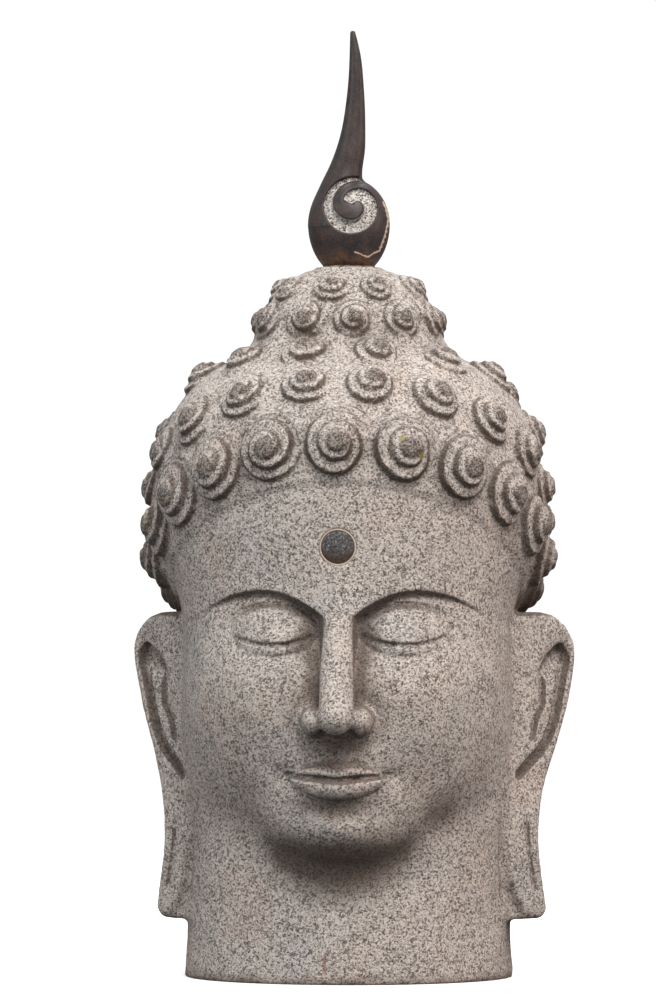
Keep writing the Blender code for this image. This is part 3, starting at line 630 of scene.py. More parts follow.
def carve(mesh, field, unit, rounds=9, longest=4, where=None):
    """Moves each vertex down the field's slope until it lies on the carved surface."""
    block = coordinates(mesh) / unit
    chosen = np.ones(len(block), bool) if where is None else where(block)
    p = block[chosen]
    for _ in range(rounds):
        value, grad = slope(field, p)
        step = grad * (value / np.maximum((grad**2).sum(axis=1), 0.05))[:, None]
        length = np.linalg.norm(step, axis=1)
        p -= step * np.minimum(1, longest / np.maximum(length, 1e-9))[:, None]
    block[chosen] = p
    put_back(mesh, block * unit)


def modified(mesh, name, kind, **settings):
    """The mesh as one modifier leaves it. The mesh that goes in is used up."""
    block = bpy.data.objects.new(name, mesh)
    bpy.context.scene.collection.objects.link(block)
    step = block.modifiers.new(name, kind)
    for setting, value in settings.items():
        setattr(step, setting, value)
    graph = bpy.context.evaluated_depsgraph_get()
    made = bpy.data.meshes.new_from_object(block.evaluated_get(graph), depsgraph=graph)
    bpy.data.objects.remove(block)
    bpy.data.meshes.remove(mesh)
    return made


def reskinned(mesh, voxel):
    """The mesh skinned anew with even faces of this size, in metres."""
    return modified(mesh, "skin", "REMESH", mode="VOXEL", voxel_size=voxel)


def thinned(mesh, triangles):
    """The mesh with its flattest edges collapsed until about this many triangles are left."""
    mesh.calc_loop_triangles()
    count = len(mesh.loop_triangles)
    made = modified(mesh, "thin", "DECIMATE", ratio=min(1, triangles / count))
    made.shade_smooth()
    return made


def mesh_of(bm, name):
    mesh = bpy.data.meshes.new(name)
    bm.to_mesh(mesh)
    bm.free()
    return mesh


def add_ball(bm, centre, radii, unit=PART):
    size = Vector(radii) * unit
    place = Matrix.Translation(Vector(centre) * unit) @ Matrix.Diagonal((*size, 1))
    bmesh.ops.create_uvsphere(bm, u_segments=32, v_segments=20, radius=1, matrix=place)


def add_bar(bm, foot, top, foot_radii, top_share=1.0):
    """A round or oval bar from foot to top, thinned or thickened by top_share at its top."""
    foot, top = Vector(foot) * PART, Vector(top) * PART
    facing = (top - foot).to_track_quat("Z", "Y").to_matrix().to_4x4()
    size = Matrix.Diagonal((foot_radii[0] * PART, foot_radii[1] * PART, (top - foot).length, 1))
    bmesh.ops.create_cone(
        bm,
        cap_ends=True,
        segments=40,
        radius1=1,
        radius2=top_share,
        depth=1,
        matrix=Matrix.Translation((foot + top) / 2) @ facing @ size,
    )


def ear_rim(side, height, reach):
    """A point inside an ear's outer edge, at this share of its height."""
    out = reach - EAR_HALF_THICKNESS
    up = EAR_BOTTOM + np.clip(height, 0.04, 0.93) * (EAR_TOP - EAR_BOTTOM)
    across = EAR_ROOT[0] + out * math.cos(EAR_SWING)
    return side * across, EAR_ROOT[1] + out * math.sin(EAR_SWING), up


def roughed_out():
    """Plain balls and bars, about where the finished forms will be."""
    bm = bmesh.new()
    add_ball(bm, SKULL_CENTRE, SKULL_RADII)
    add_ball(bm, FACE_CENTRE, FACE_RADII)
    add_ball(bm, JAW_CENTRE, JAW_RADII)
    add_ball(bm, TOPKNOT_CENTRE, TOPKNOT_RADII)
    add_ball(bm, NOSE_TIP, (NOSE_TIP_RADIUS,) * 3)
    nose_radii = (NOSE_TIP_RADIUS, NOSE_TIP_RADIUS)
    add_bar(bm, NOSE_TIP, NOSE_ROOT, nose_radii, NOSE_ROOT_RADIUS / NOSE_TIP_RADIUS)
    add_bar(bm, (0, 0, 0), (0, 0, NECK_TOP), NECK_RADII)
    middle, half = (EAR_TOP + EAR_BOTTOM) / 2, (EAR_TOP - EAR_BOTTOM) / 2
    for side, reaches in ((1, EAR_REACH_RIGHT), (-1, EAR_REACH_LEFT)):
        add_ball(bm, (side * NOSE_WING[0], *NOSE_WING[1:]), NOSE_WING_RADII)
        rim = [ear_rim(side, height, reach) for height, reach in zip(EAR_HEIGHTS, reaches)]
        for foot, top in zip(rim, rim[1:]):
            add_bar(bm, foot, top, (EAR_HALF_THICKNESS + 2,) * 2)
        add_ball(bm, (side * (EAR_ROOT[0] + 14), 6, middle), (22, 20, half))
        add_ball(bm, (side * (EAR_ROOT[0] + 20), 12, EAR_TOP - 28), (20, 18, 26))
        root = side * (EAR_ROOT[0] - 3)
        add_bar(bm, (root, 0, EAR_BOTTOM + 2), (root, 0, EAR_TOP - 3), (17, 14))
    return mesh_of(bm, "block")


def snail_height(share, turn, sway):
    """Height of a snail curl at shares of its radius and angles in radians, in its own radii."""
    lap = turn / (2 * math.pi)
    share = share * (1 + sway[0] * np.sin(2 * turn + sway[1]) + sway[2] * np.sin(3 * turn))
    height = -SKIRT_DROP * share**2
    for turns in range(WALL_TURNS[-1]):
        wall = np.interp(lap + turns, WALL_TURNS, WALL_RADII)
        rise = np.interp(lap + turns, RISE_TURNS, RISES)
        height += rise * smoothstep(wall + WALL_THICKNESS, wall - WALL_THICKNESS, share)
    knob = smoothstep(KNOB_RADIUS + 0.05, KNOB_RADIUS - 0.05, share)
    height = height * (1 - knob) + knob * (KNOB_TOP - 0.5 * share**2)
    return height


def skirt_height(share, upward):
    """Low ridge round a curl's upper side. Its lower side drops straight to the skin."""
    at, half, high = SKIRT_RIDGE
    ridge = high * bell(share - at, half) * smoothstep(-0.1, 0.5, upward)
    return ridge - SKIRT_FOOT * smoothstep(0.98, 1.06, share) * smoothstep(0.3, -0.2, upward)


def snail_curl(hand, sway, segments, rings):
    """A ball whose upper half is drawn out into a snail shell and whose lower half is a root."""
    bm = bmesh.new()
    bmesh.ops.create_uvsphere(bm, u_segments=segments, v_segments=rings, radius=1)
    mesh = mesh_of(bm, "snail_curl")
    block = coordinates(mesh)
    polar = np.arccos(np.clip(block[:, 2], -1, 1))
    turn = np.arctan2(block[:, 1], block[:, 0]) * hand
    lap_start = math.radians(-40)
    turn = (turn - lap_start) % (2 * math.pi)
    share = np.minimum(polar, math.pi - polar) / (math.pi / 2) * SKIRT
    length = np.maximum(np.hypot(block[:, 0], block[:, 1]), 1e-9)
    flat = block[:, :2] / length[:, None] * share[:, None]
    lift = snail_height(share, turn, sway) + skirt_height(share, block[:, 1] / length)
    root = (share / SKIRT - 1) * ROOT_DEPTH
    above = polar <= math.pi / 2 + 1e-6
    rim = -SKIRT_FOOT - SKIRT_DROP * SKIRT**2
    edge = smoothstep(SKIRT - 0.06, SKIRT, share)
    lift = lift * (1 - edge) + rim * edge
    put_back(mesh, np.column_stack((flat, np.where(above, lift, root + rim))))
    return mesh


def new_socket(tree, name, kind, value=None, way="INPUT"):
    made = tree.interface.new_socket(name, in_out=way, socket_type="NodeSocket" + kind)
    if value is not None:
        made.default_value = value
    return made.identifier


def node(tree, kind, inputs=None, **settings):
    """A new node. Each input is a constant, or another node's output to wire it to."""
    made = tree.nodes.new(kind)
    for name, value in settings.items():
        setattr(made, name, value)
    for key, value in (inputs or {}).items():
        if isinstance(value, bpy.types.NodeSocket):
            tree.links.new(value, made.inputs[key])
        else:
            made.inputs[key].default_value = value
    return made


def curl_tree():
    """Sets a snail curl on each scalp point, facing outwards, each a little unlike the next."""
    tree = bpy.data.node_groups.new("Snail curls on a scalp", "GeometryNodeTree")
    new_socket(tree, "Geometry", "Geometry", way="OUTPUT")
    names = {"Scalp points": new_socket(tree, "Scalp points", "Geometry")}
    for name, kind, value in (
        ("Curl shapes", "Collection", None),
        ("Size", "Float", 1.0),
        ("Uneven size", "Float", 0.04),
        ("Uneven turn", "Float", 0.25),
        ("Uneven lean", "Float", 0.05),
        ("Seed", "Int", 7),
        ("Stone", "Material", None),
    ):
        names[name] = new_socket(tree, name, kind, value)
    given = tree.nodes.new("NodeGroupInput").outputs

    def scatter(reach, seed_step):
        seed = node(tree, "ShaderNodeMath", {0: given["Seed"], 1: seed_step})
        low = node(tree, "ShaderNodeMath", {0: reach, 1: -1.0}, operation="MULTIPLY")
        random = node(tree, "FunctionNodeRandomValue", data_type="FLOAT")
        tree.links.new(low.outputs[0], random.inputs[2])
        tree.links.new(reach, random.inputs[3])
        tree.links.new(seed.outputs[0], random.inputs["Seed"])
        return random.outputs[1]

    def attribute(name, kind):
        named = node(tree, "GeometryNodeInputNamedAttribute", {"Name": name}, data_type=kind)
        return named.outputs[0]

    shapes = node(
        tree,
        "GeometryNodeCollectionInfo",
        {"Collection": given["Curl shapes"], "Separate Children": True, "Reset Children": True},
    )
    facing = node(
        tree,
        "FunctionNodeAlignRotationToVector",
        {"Vector": attribute("outward", "FLOAT_VECTOR")},
        axis="Z",
    )
    upright = node(
        tree,
        "FunctionNodeAlignRotationToVector",
        {"Rotation": facing.outputs[0], "Vector": (0, 0, 1)},
        axis="Y",
        pivot_axis="Z",
    )
    uneven = node(
        tree,
        "ShaderNodeCombineXYZ",
        {
            0: scatter(given["Uneven lean"], 1.0),
            1: scatter(given["Uneven lean"], 2.0),
            2: scatter(given["Uneven turn"], 3.0),
        },
    )
    nudge = node(tree, "FunctionNodeEulerToRotation", {0: uneven.outputs[0]})
    turned = node(
        tree,
        "FunctionNodeRotateRotation",
        {"Rotation": upright.outputs[0], "Rotate By": nudge.outputs[0]},
        rotation_space="LOCAL",
    )
    sized = node(
        tree, "ShaderNodeMath", {0: scatter(given["Uneven size"], 4.0), 1: 1.0}
    )
    wanted = node(
        tree, "ShaderNodeMath", {0: sized.outputs[0], 1: given["Size"]}, operation="MULTIPLY"
    )
    scale = node(
        tree,
        "ShaderNodeMath",
        {0: wanted.outputs[0], 1: attribute("curl_radius", "FLOAT")},
        operation="MULTIPLY",
    )
    curls = node(
        tree,
        "GeometryNodeInstanceOnPoints",
        {
            "Points": given["Scalp points"],
            "Instance": shapes.outputs[0],
            "Pick Instance": True,
            "Instance Index": attribute("curl_shape", "INT"),
            "Rotation": turned.outputs[0],
            "Scale": scale.outputs[0],
        },
    )
    real = node(tree, "GeometryNodeRealizeInstances", {"Geometry": curls.outputs[0]})
    stone = node(
        tree,
        "GeometryNodeSetMaterial",
        {"Geometry": real.outputs[0], "Material": given["Stone"]},
    )
    node(tree, "NodeGroupOutput", {"Geometry": stone.outputs[0]})
    return tree, names


def curls_mesh(places, settings, stone):
    """All the curls as one plain mesh, set on the scalp by geometry nodes."""
    fine = ((72, 60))
    shapes = bpy.data.collections.new("curl_shapes")
    tree, names = curl_tree()
    rng = np.random.default_rng(settings.curl_seed)
    for i in range(2 * SHAPES_PER_HAND):
        sway = (rng.uniform(0.01, 0.035), rng.uniform(0, 6.28), rng.uniform(-0.02, 0.02))
        hand = 1 if i < SHAPES_PER_HAND else -1
        shapes.objects.link(bpy.data.objects.new(f"curl_{i}", snail_curl(hand, sway, *fine)))
    scalp = bpy.data.meshes.new("scalp_points")
    scalp.vertices.add(len(places))
    put_back(scalp, np.array([p[0] for p in places]) * PART)
    outward = scalp.attributes.new("outward", "FLOAT_VECTOR", "POINT")
    outward.data.foreach_set("vector", np.array([p[1] for p in places]).ravel())
    radius = scalp.attributes.new("curl_radius", "FLOAT", "POINT")
    radius.data.foreach_set("value", np.array([p[2] for p in places]) * PART)
    picked = rng.integers(0, SHAPES_PER_HAND, len(places))
    hands = np.array([0 if p[3] > 0 else SHAPES_PER_HAND for p in places])
    shape = scalp.attributes.new("curl_shape", "INT", "POINT")
    shape.data.foreach_set("value", (picked + hands).astype(np.int32))
    holder = bpy.data.objects.new("curls", scalp)
    bpy.context.scene.collection.objects.link(holder)
    step = holder.modifiers.new("curls", "NODES")
    step.node_group = tree
    step[names["Curl shapes"]] = shapes
    step[names["Size"]] = settings.curl_size
    step[names["Uneven size"]] = settings.curl_unevenness
    step[names["Seed"]] = settings.curl_seed
    step[names["Stone"]] = stone
    graph = bpy.context.evaluated_depsgraph_get()
    made = bpy.data.meshes.new_from_object(holder.evaluated_get(graph), depsgraph=graph)
    holder.modifiers.remove(step)
    bpy.data.objects.remove(holder)
    bpy.data.meshes.remove(scalp)
    for curl in list(shapes.objects):
        bpy.data.objects.remove(curl)
    bpy.data.collections.remove(shapes)
    bpy.data.node_groups.remove(tree)
    return made


def lumps(p, seed):
    """Smooth hand-made unevenness, from -1 to 1, as a sum of waves in fixed odd directions."""
    rng = np.random.default_rng(seed)
    total = np.zeros(len(p))
    for _ in range(9):
        direction = rng.normal(size=3)
        direction /= np.linalg.norm(direction)
        bend = rng.normal(size=3)
        phase = rng.uniform(0, 2 * math.pi)
        total += np.sin(p @ direction * 6.28 + phase + 1.5 * np.sin(p @ bend * 2.1 + phase))
    return total / 4.5


def weathered(mesh, settings):
    """Tool marks and wear: low lumps all over, but not on the flat cuts."""
    block, outward = coordinates(mesh), normals(mesh)
    p = block / MM
    height = SEAT_TOP * PART / MM
    on_cut = smoothstep(0.4, 5, p[:, 2]) * smoothstep(height - 0.4, height - 3, p[:, 2])
    hair = smoothstep(-4, 4, above_hairline(block / PART))
    soft = settings.unevenness * lumps(p / 34, 3)
    marks = settings.tool_marks * lumps(p / 7.5, 5) * (0.55 + 0.6 * hair)
    chips = np.maximum(lumps(p / 15, 11) - 0.62, 0) * smoothstep(9, 1, p[:, 2]) * 3
    push = (soft + marks - chips) * on_cut * MM
    put_back(mesh, block + outward * push[:, None])


def paint(mesh, name, values):
    layer = mesh.attributes.new(name, "FLOAT", "POINT")
    layer.data.foreach_set("value", np.asarray(values, np.float32))


def closeness(mesh, reaches, side=1):
    """For each vertex and reach, how much stone there is around a point that far off it."""
    tree = BVHTree.FromPolygons(
        [tuple(v) for v in coordinates(mesh)], [tuple(f.vertices) for f in mesh.polygons]
    )
    block, outward = coordinates(mesh), normals(mesh)
    found = []
    for reach in reaches:
        probes = block + outward * (side * reach)
        near = np.array([tree.find_nearest(p)[3] for p in map(tuple, probes)])
        found.append(np.clip(1 - near / reach, 0, 1))
    return found


def overhang_shade_and_dirt(mesh, way, reach):
    """For each vertex, how near the stone over it is, looking this way, to paint shadow and dirt
    under it.
    """
    block, outward = coordinates(mesh), normals(mesh)
    tree = BVHTree.FromPolygons(
        [tuple(v) for v in block], [tuple(f.vertices) for f in mesh.polygons]
    )
    starts, way = block + outward * 1.5 * MM, Vector(way).normalized()
    hits = (tree.ray_cast(tuple(start), way, reach)[3] for start in starts)
    return np.array([0 if hit is None else 1 - hit / reach for hit in hits])


def spread(mesh, values, rounds):
    """The values evened out between neighbouring vertices, so that they fade softly."""
    ends = np.empty(len(mesh.edges) * 2, np.int32)
    mesh.edges.foreach_get("vertices", ends)
    here, there = ends.reshape(-1, 2).T
    count = np.bincount(ends, minlength=len(values)) + 1
    for _ in range(rounds):
        total = values + np.bincount(here, values[there], len(values))
        total += np.bincount(there, values[here], len(values))
        values = total / count
    return values


def paint_curl_dirt_and_shade(mesh, places):
    """Marks the curls' knobs, and their steep walls, darker than their tops by dirt and painted
    shade.
    """
    block, outward = coordinates(mesh) / PART, normals(mesh)
    knob, wall = np.zeros(len(block)), np.zeros(len(block))
    for centre, normal, radius, _ in places:
        from_centre = block - centre
        near = (from_centre**2).sum(axis=1) < (1.3 * radius) ** 2
        up = from_centre[near] @ normal
        off = np.sqrt(np.maximum((from_centre[near] ** 2).sum(axis=1) - up**2, 0)) / radius
        steep = 1 - np.clip(outward[near] @ normal, 0, 1)
        inside = smoothstep(1.12, 0.98, off) * smoothstep(-0.15 * radius, 0.02 * radius, up)
        # Painted shade: walls that face down are darkened more, as under a light from above
        below = 0.55 + 0.5 * smoothstep(0.35, -0.35, outward[near][:, 2])
        wall[near] = np.maximum(wall[near], smoothstep(0.08, 0.4, steep) * inside * below)
        top = smoothstep(KNOB_RADIUS + 0.03, KNOB_RADIUS - 0.05, off)
        top *= smoothstep(0.35 * radius, 0.5 * radius, up)
        knob[near] = np.maximum(knob[near], top)
    paint(mesh, "knob", knob)
    paint(mesh, "wall", wall)


def new_piece(name, mesh, material, slot, *stands_for):
    """A finished piece in the row frame, riding on the part's one body."""
    mesh.name = name
    piece = bpy.data.objects.new(name, mesh)
    bpy.context.scene.collection.objects.link(piece)
    mesh.materials.clear()
    mesh.materials.append(material)
    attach(piece, "root")
    if stands_for:
        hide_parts(*stands_for)
    return piece


# Materials


class Shader:
    """A material and the few kinds of node that its pattern is made of. Lengths are in mm."""

    def __init__(self, name, roughness):
        self.material = bpy.data.materials.new(name)
        self.material.use_nodes = True
        self.tree = self.material.node_tree
        self.principled = self.tree.nodes["Principled BSDF"]
        self.principled.inputs["Roughness"].default_value = roughness
        place = node(self.tree, "ShaderNodeTexCoord").outputs["Object"]
        self.mm = self.scaled(place, 1000)

    def scaled(self, vector, factor):
        kind = {0: vector, "Scale": factor}
        return node(self.tree, "ShaderNodeVectorMath", kind, operation="SCALE").outputs[0]

    def maths(self, operation, a, b=0.0):
        return node(self.tree, "ShaderNodeMath", {0: a, 1: b}, operation=operation).outputs[0]

    def sum(self, *terms):
        total = terms[0]
        for term in terms[1:]:
            total = self.maths("ADD", total, term)
        return total

    def times(self, a, b):
        return self.maths("MULTIPLY", a, b)

    def stirred(self, value, pattern, amount):
        """The value raised and lowered by a pattern that runs from 0 to 1."""
        return self.sum(value, self.times(self.maths("SUBTRACT", pattern, 0.5), amount))

    def noise(self, grain, detail=2.0, roughness=0.5, at=None, output="Fac"):
        made = node(
            self.tree,
            "ShaderNodeTexNoise",
            {
                "Vector": at or self.mm,
                "Scale": 1 / grain,
                "Detail": detail,
                "Roughness": roughness,
            },
        )
        return made.outputs[output]

    def cells(self, grain, at):
        """A flat random colour for each grain."""
        kind = {"Vector": at, "Scale": 1 / grain}
        return node(self.tree, "ShaderNodeTexVoronoi", kind).outputs["Color"]

    def split(self, colour):
        return node(self.tree, "ShaderNodeSeparateColor", {0: colour}).outputs

    def shaken(self, reach, grain):
        """The coordinates with their straight lines roughened."""
        drift = node(
            self.tree,
            "ShaderNodeVectorMath",
            {0: self.noise(grain, 2.0, output="Color"), 1: (0.5, 0.5, 0.5)},
            operation="SUBTRACT",
        ).outputs[0]
        kind = {0: self.mm, 1: self.scaled(drift, reach)}
        return node(self.tree, "ShaderNodeVectorMath", kind).outputs[0]

    def stretched(self, turn, size):
        """The coordinates turned, then squeezed, so that a pattern on them draws out."""
        return node(
            self.tree,
            "ShaderNodeMapping",
            {"Vector": self.mm, "Rotation": turn, "Scale": size},
        ).outputs[0]

    def between(self, value, low, high):
        """0 at low and 1 at high, smoothly."""
        made = node(
            self.tree,
            "ShaderNodeMapRange",
            {"Value": value, "From Min": low, "From Max": high},
            interpolation_type="SMOOTHSTEP",
        )
        return made.outputs[0]

    def ramp(self, value, stops):
        made = node(self.tree, "ShaderNodeValToRGB", {0: value})
        line = made.color_ramp.elements
        while len(line) < len(stops):
            line.new(0.5)
        for spot, (at, colour) in zip(line, stops):
            spot.position = at
            spot.color = (*colour, 1)
        return made.outputs[0]

    def mix(self, share, a, b, blend="MIX"):
        made = node(self.tree, "ShaderNodeMix", data_type="RGBA", blend_type=blend)
        made.clamp_factor = True
        for key, value in ((0, share), (6, a), (7, b)):
            if isinstance(value, bpy.types.NodeSocket):
                self.tree.links.new(value, made.inputs[key])
            elif key:
                made.inputs[key].default_value = (*value, 1)
            else:
                made.inputs[key].default_value = value
        return made.outputs[2]

    def shade(self, colour, factor):
        """The colour made darker or lighter by a factor."""
        grey = node(self.tree, "ShaderNodeCombineColor", {0: factor, 1: factor, 2: factor})
        return self.mix(1.0, colour, grey.outputs[0], "MULTIPLY")

    def along(self, axis):
        """The place along x, y or z, in mm."""
        return node(self.tree, "ShaderNodeSeparateXYZ", {0: self.mm}).outputs[axis]

    def painted(self, name):
        """A value painted on the piece's own vertices."""
        made = node(self.tree, "ShaderNodeAttribute")
        made.attribute_name = name
        return made.outputs["Fac"]

    def away_from(self, point):
        """Distance in mm to a place on the piece."""
        kind = {0: self.mm, 1: point}
        return node(self.tree, "ShaderNodeVectorMath", kind, operation="DISTANCE").outputs["Value"]

    def finish(self, colour, height, depth, strength, roughness=None):
        sockets = self.principled.inputs
        self.tree.links.new(colour, sockets["Base Color"])
        if roughness is not None:
            self.tree.links.new(roughness, sockets["Roughness"])
        bump = node(
            self.tree,
            "ShaderNodeBump",
            {"Height": height, "Distance": depth * MM, "Strength": strength},
        )
        self.tree.links.new(bump.outputs[0], sockets["Normal"])
        return self.material


# Painted shadow under overhangs, with dirt: which ways each vertex looks up for stone over it, how
# much of it shows at which height, and how many times it is evened out
OVERHANG_SHADE_WAYS = ((0, -0.55), (0.25, -0.3), (-0.25, -0.3))
OVERHANG_SHADE_HEIGHTS = (105, 135, 200, 230)
OVERHANG_SHADE_SHARES = (1, 0.35, 0.3, 0)
OVERHANG_SHADE_ROUNDS = 10

# Yellow lichen on two curls, as (across, up, size), how far it sits in front of the skin between
# the curls, and a narrow red smear low on the neck: its place and colour. In mm.
LICHEN = ((41, 339, 7.5), (50, 330, 6.0))
LICHEN_AHEAD = 6
RED_SMEAR = (-10, -88, 13)
RED_STAIN = (0.36, 0.09, 0.06)

# The granite, in mm: its grains, its larger dark flecks, the sand between them, the patches where
# dark grains crowd and where the hue drifts, and its pits
GRAIN, FLECK, SAND, CROWD, HUE_PATCH, PIT = 0.8, 1.5, 0.5, 14.0, 46.0, 3.2

# Where along a grain's lot each colour from dark to bright comes, how much brighter the brightest
# is, and what moves the lot: crowding, sand, the curl walls' dirt and painted shade, knobs and
# sharp edges
GRAIN_STOPS = (0.06, 0.17, 0.29, 0.42, 0.6, 0.96)
BRIGHTEST = 1.27
BY_CROWD, BY_SAND, BY_WALL_DIRT_AND_SHADE, BY_KNOB, BY_EDGE = 0.22, 0.6, -0.4, -0.26, 0.16

# Chisel lines, as the turn and the stretch of a pattern
CHISEL_LINES = ((0.5, (0.22, 1.4, 1.1)), (-0.7, (1.2, 1.4, 0.2)))

# How strongly each stain covers the stone; the walls' cover is dirt and painted shade together
FLECK_COVER, WARM_COVER, COOL_COVER, LINE_COVER = 0.62, 0.35, 0.4, 0.25
WALL_DIRT_AND_SHADE_COVER, KNOB_COVER, FOOT_COVER, LICHEN_COVER, SMEAR_COVER = 0.6, 0.45, 0.45, 0.65, 0.5


def speckled_stone(settings):
    """Grey granite, dark-grained, chiselled and stained, with painted shade in hollows and under
    overhangs.
    """
    s = Shader("speckled_granite", 0.93)
    light, middle, dark = settings.light_grain, settings.middle_grain, settings.dark_grain
    # One colour serves the dirt and the painted shade alike
    dirt_and_shade = settings.dirt_and_shade_colour
    rough = s.shaken(0.8, 1.0)
    lot = s.split(s.cells(GRAIN, rough))
    big = s.split(s.cells(FLECK, rough))
    sand = s.noise(SAND, 2.0, 0.6)
    crowd = s.noise(CROWD, 3.0, 0.6)
    wall, knob = s.painted("wall"), s.painted("knob")
    # The curls' walls pick darker grains, for dirt and painted shade
    draw = s.sum(
        s.stirred(s.stirred(lot[0], crowd, BY_CROWD), sand, BY_SAND),
        s.times(wall, BY_WALL_DIRT_AND_SHADE),
        s.times(knob, BY_KNOB),
        s.times(s.painted("edge"), BY_EDGE),
    )
    half = [(a + b) / 2 for a, b in zip(middle, dark)]
    pale = [(a + b) / 2 for a, b in zip(middle, light)]
    bright = [min(1, c * BRIGHTEST) for c in light]
    colour = s.ramp(draw, tuple(zip(GRAIN_STOPS, (dark, half, middle, pale, light, bright))))
    flecks = s.between(s.stirred(big[1], crowd, 0.3), 0.16, 0.09)
    colour = s.mix(s.times(flecks, FLECK_COVER), colour, dark)
    hue = s.noise(HUE_PATCH, 3.0, 0.55)
    warm = s.times(s.between(hue, 0.52, 0.68), WARM_COVER)
    colour = s.mix(warm, colour, settings.warm_patch, "MULTIPLY")
    cool = s.times(s.between(hue, 0.47, 0.3), COOL_COVER)
    colour = s.mix(cool, colour, settings.cool_patch, "MULTIPLY")
    lines = [
        s.between(s.noise(1.0, 1.0, 0.5, s.stretched((0, 0, turn), size)), 0.62, 0.74)
        for turn, size in CHISEL_LINES
    ]
    marks = s.maths("MAXIMUM", *lines)
    colour = s.mix(s.times(marks, LINE_COVER), colour, light)
    # Painted shade in the hollows, with dirt: darker where stone stands close round
    hollow = s.sum(s.painted("recess"), s.times(sand, 0.3))
    colour = s.mix(s.times(s.between(hollow, 0.22, 0.95), settings.dirt_and_shade), colour, dirt_and_shade)
    # Painted shadow under overhangs such as the jaw, nose, lips, brows and curls, with dirt
    overhang_shade_mask = s.between(s.stirred(s.painted("overhang_shade_and_dirt"), sand, 0.3), 0.06, 0.75)
    colour = s.mix(s.times(overhang_shade_mask, settings.overhang_shade_and_dirt_strength), colour, dirt_and_shade)
    # The curls' walls darkened by dirt and painted shade, the knobs by dirt
    colour = s.mix(s.times(wall, WALL_DIRT_AND_SHADE_COVER), colour, dirt_and_shade)
    colour = s.mix(s.times(knob, KNOB_COVER), colour, dirt_and_shade)
    foot = s.between(s.sum(s.along(2), s.times(crowd, 16.0)), 17.0, 8.0)
    colour = s.mix(s.times(foot, FOOT_COVER), colour, settings.foot_stain)
    patches = s.noise(2.4, 3.0, 0.7)
    for x, z, size in LICHEN:
        skin = surface_along(haired_head, (x * MM / PART, 0, z * MM / PART), (0, -1, 0))[0]
        y = skin[1] * PART / MM - LICHEN_AHEAD
        near = s.between(s.away_from((x, y, z)), size, size * 0.35)
        spot = s.between(s.sum(near, patches), 0.95, 1.25)
        colour = s.mix(s.times(spot, LICHEN_COVER), colour, settings.lichen)
    smear = s.between(s.sum(s.away_from(RED_SMEAR), s.times(patches, 4.0)), 9.5, 6.5)
    aside = s.maths("ABSOLUTE", s.sum(s.along(0), -RED_SMEAR[0]))
    smear = s.times(smear, s.between(aside, 1.4, 0.5))
    colour = s.mix(s.times(smear, SMEAR_COVER), colour, RED_STAIN)
    height = s.sum(
        s.times(lot[0], 0.45),
        s.times(sand, 0.6),
        s.times(s.noise(PIT, 3.0, 0.6), 0.9),
        s.times(flecks, -0.5),
        s.times(marks, 0.25),
    )
    return s.finish(colour, height, 0.55, 0.85)


# The finial: rust at its foot, the filler in its mended break, and the rubbed lines on it, as the
# turn and the stretch of a pattern and where it begins and is full
RUST = (0.16, 0.075, 0.035)
MEND_FILLER = (0.62, 0.47, 0.36)
RUBBED_LINES = (
    ((0.2, 0.1, 0), (1.6, 1.6, 0.16), 0.6, 0.78),
    ((0, 0.9, 0), (1.5, 1.5, 0.2), 0.66, 0.8),
)
RUB_COVER, SPECKLE_COVER = 0.5, 0.4


def dark_flame_stone(settings):
    """Near-black stone rubbed to a satin, with a pale pecked channel and a mended break."""
    s = Shader("rubbed_dark_stone", 0.42)
    cloud = s.noise(9.0, 4.0, 0.6)
    sand = s.noise(SAND, 2.0, 0.6)
    colour = s.mix(s.between(cloud, 0.35, 0.7), settings.finial_dark, settings.finial_brown)
    rubs = s.maths(
        "MAXIMUM",
        *(
            s.between(s.noise(1.0, 2.0, 0.6, s.stretched(turn, size)), low, high)
            for turn, size, low, high in RUBBED_LINES
        ),
    )
    scratch = settings.finial_scratch
    colour = s.mix(s.times(rubs, RUB_COVER), colour, scratch)
    colour = s.mix(s.times(s.between(sand, 0.52, 0.7), SPECKLE_COVER), colour, scratch)
    rusty = s.times(s.painted("base_stain"), s.between(s.noise(3.0, 3.0, 0.6), 0.35, 0.6))
    colour = s.mix(rusty, colour, RUST)
    lot = s.split(s.cells(0.95, s.shaken(0.9, 1.0)))
    pecked = s.ramp(
        s.stirred(lot[0], sand, 0.7),
        (
            (0.05, (0.07, 0.06, 0.055)),
            (0.24, (0.3, 0.27, 0.25)),
            (0.5, settings.channel_colour),
            (0.95, (0.8, 0.77, 0.74)),
        ),
    )
    inlay = s.between(s.stirred(s.painted("channel"), sand, 0.5), 0.4, 0.62)
    colour = s.mix(inlay, colour, pecked)
    mend = s.between(s.stirred(s.painted("mend"), sand, 0.7), 0.62, 0.9)
    colour = s.mix(mend, colour, MEND_FILLER)
    matt = s.maths("MAXIMUM", inlay, mend)
    gloss = s.sum(s.times(cloud, 0.25), 0.3, s.times(matt, 0.5), s.times(rubs, 0.1))
    height = s.sum(s.times(sand, 0.25), s.times(cloud, 0.6), s.times(s.times(lot[0], inlay), 0.9))
    return s.finish(colour, height, 0.35, 0.5, gloss)


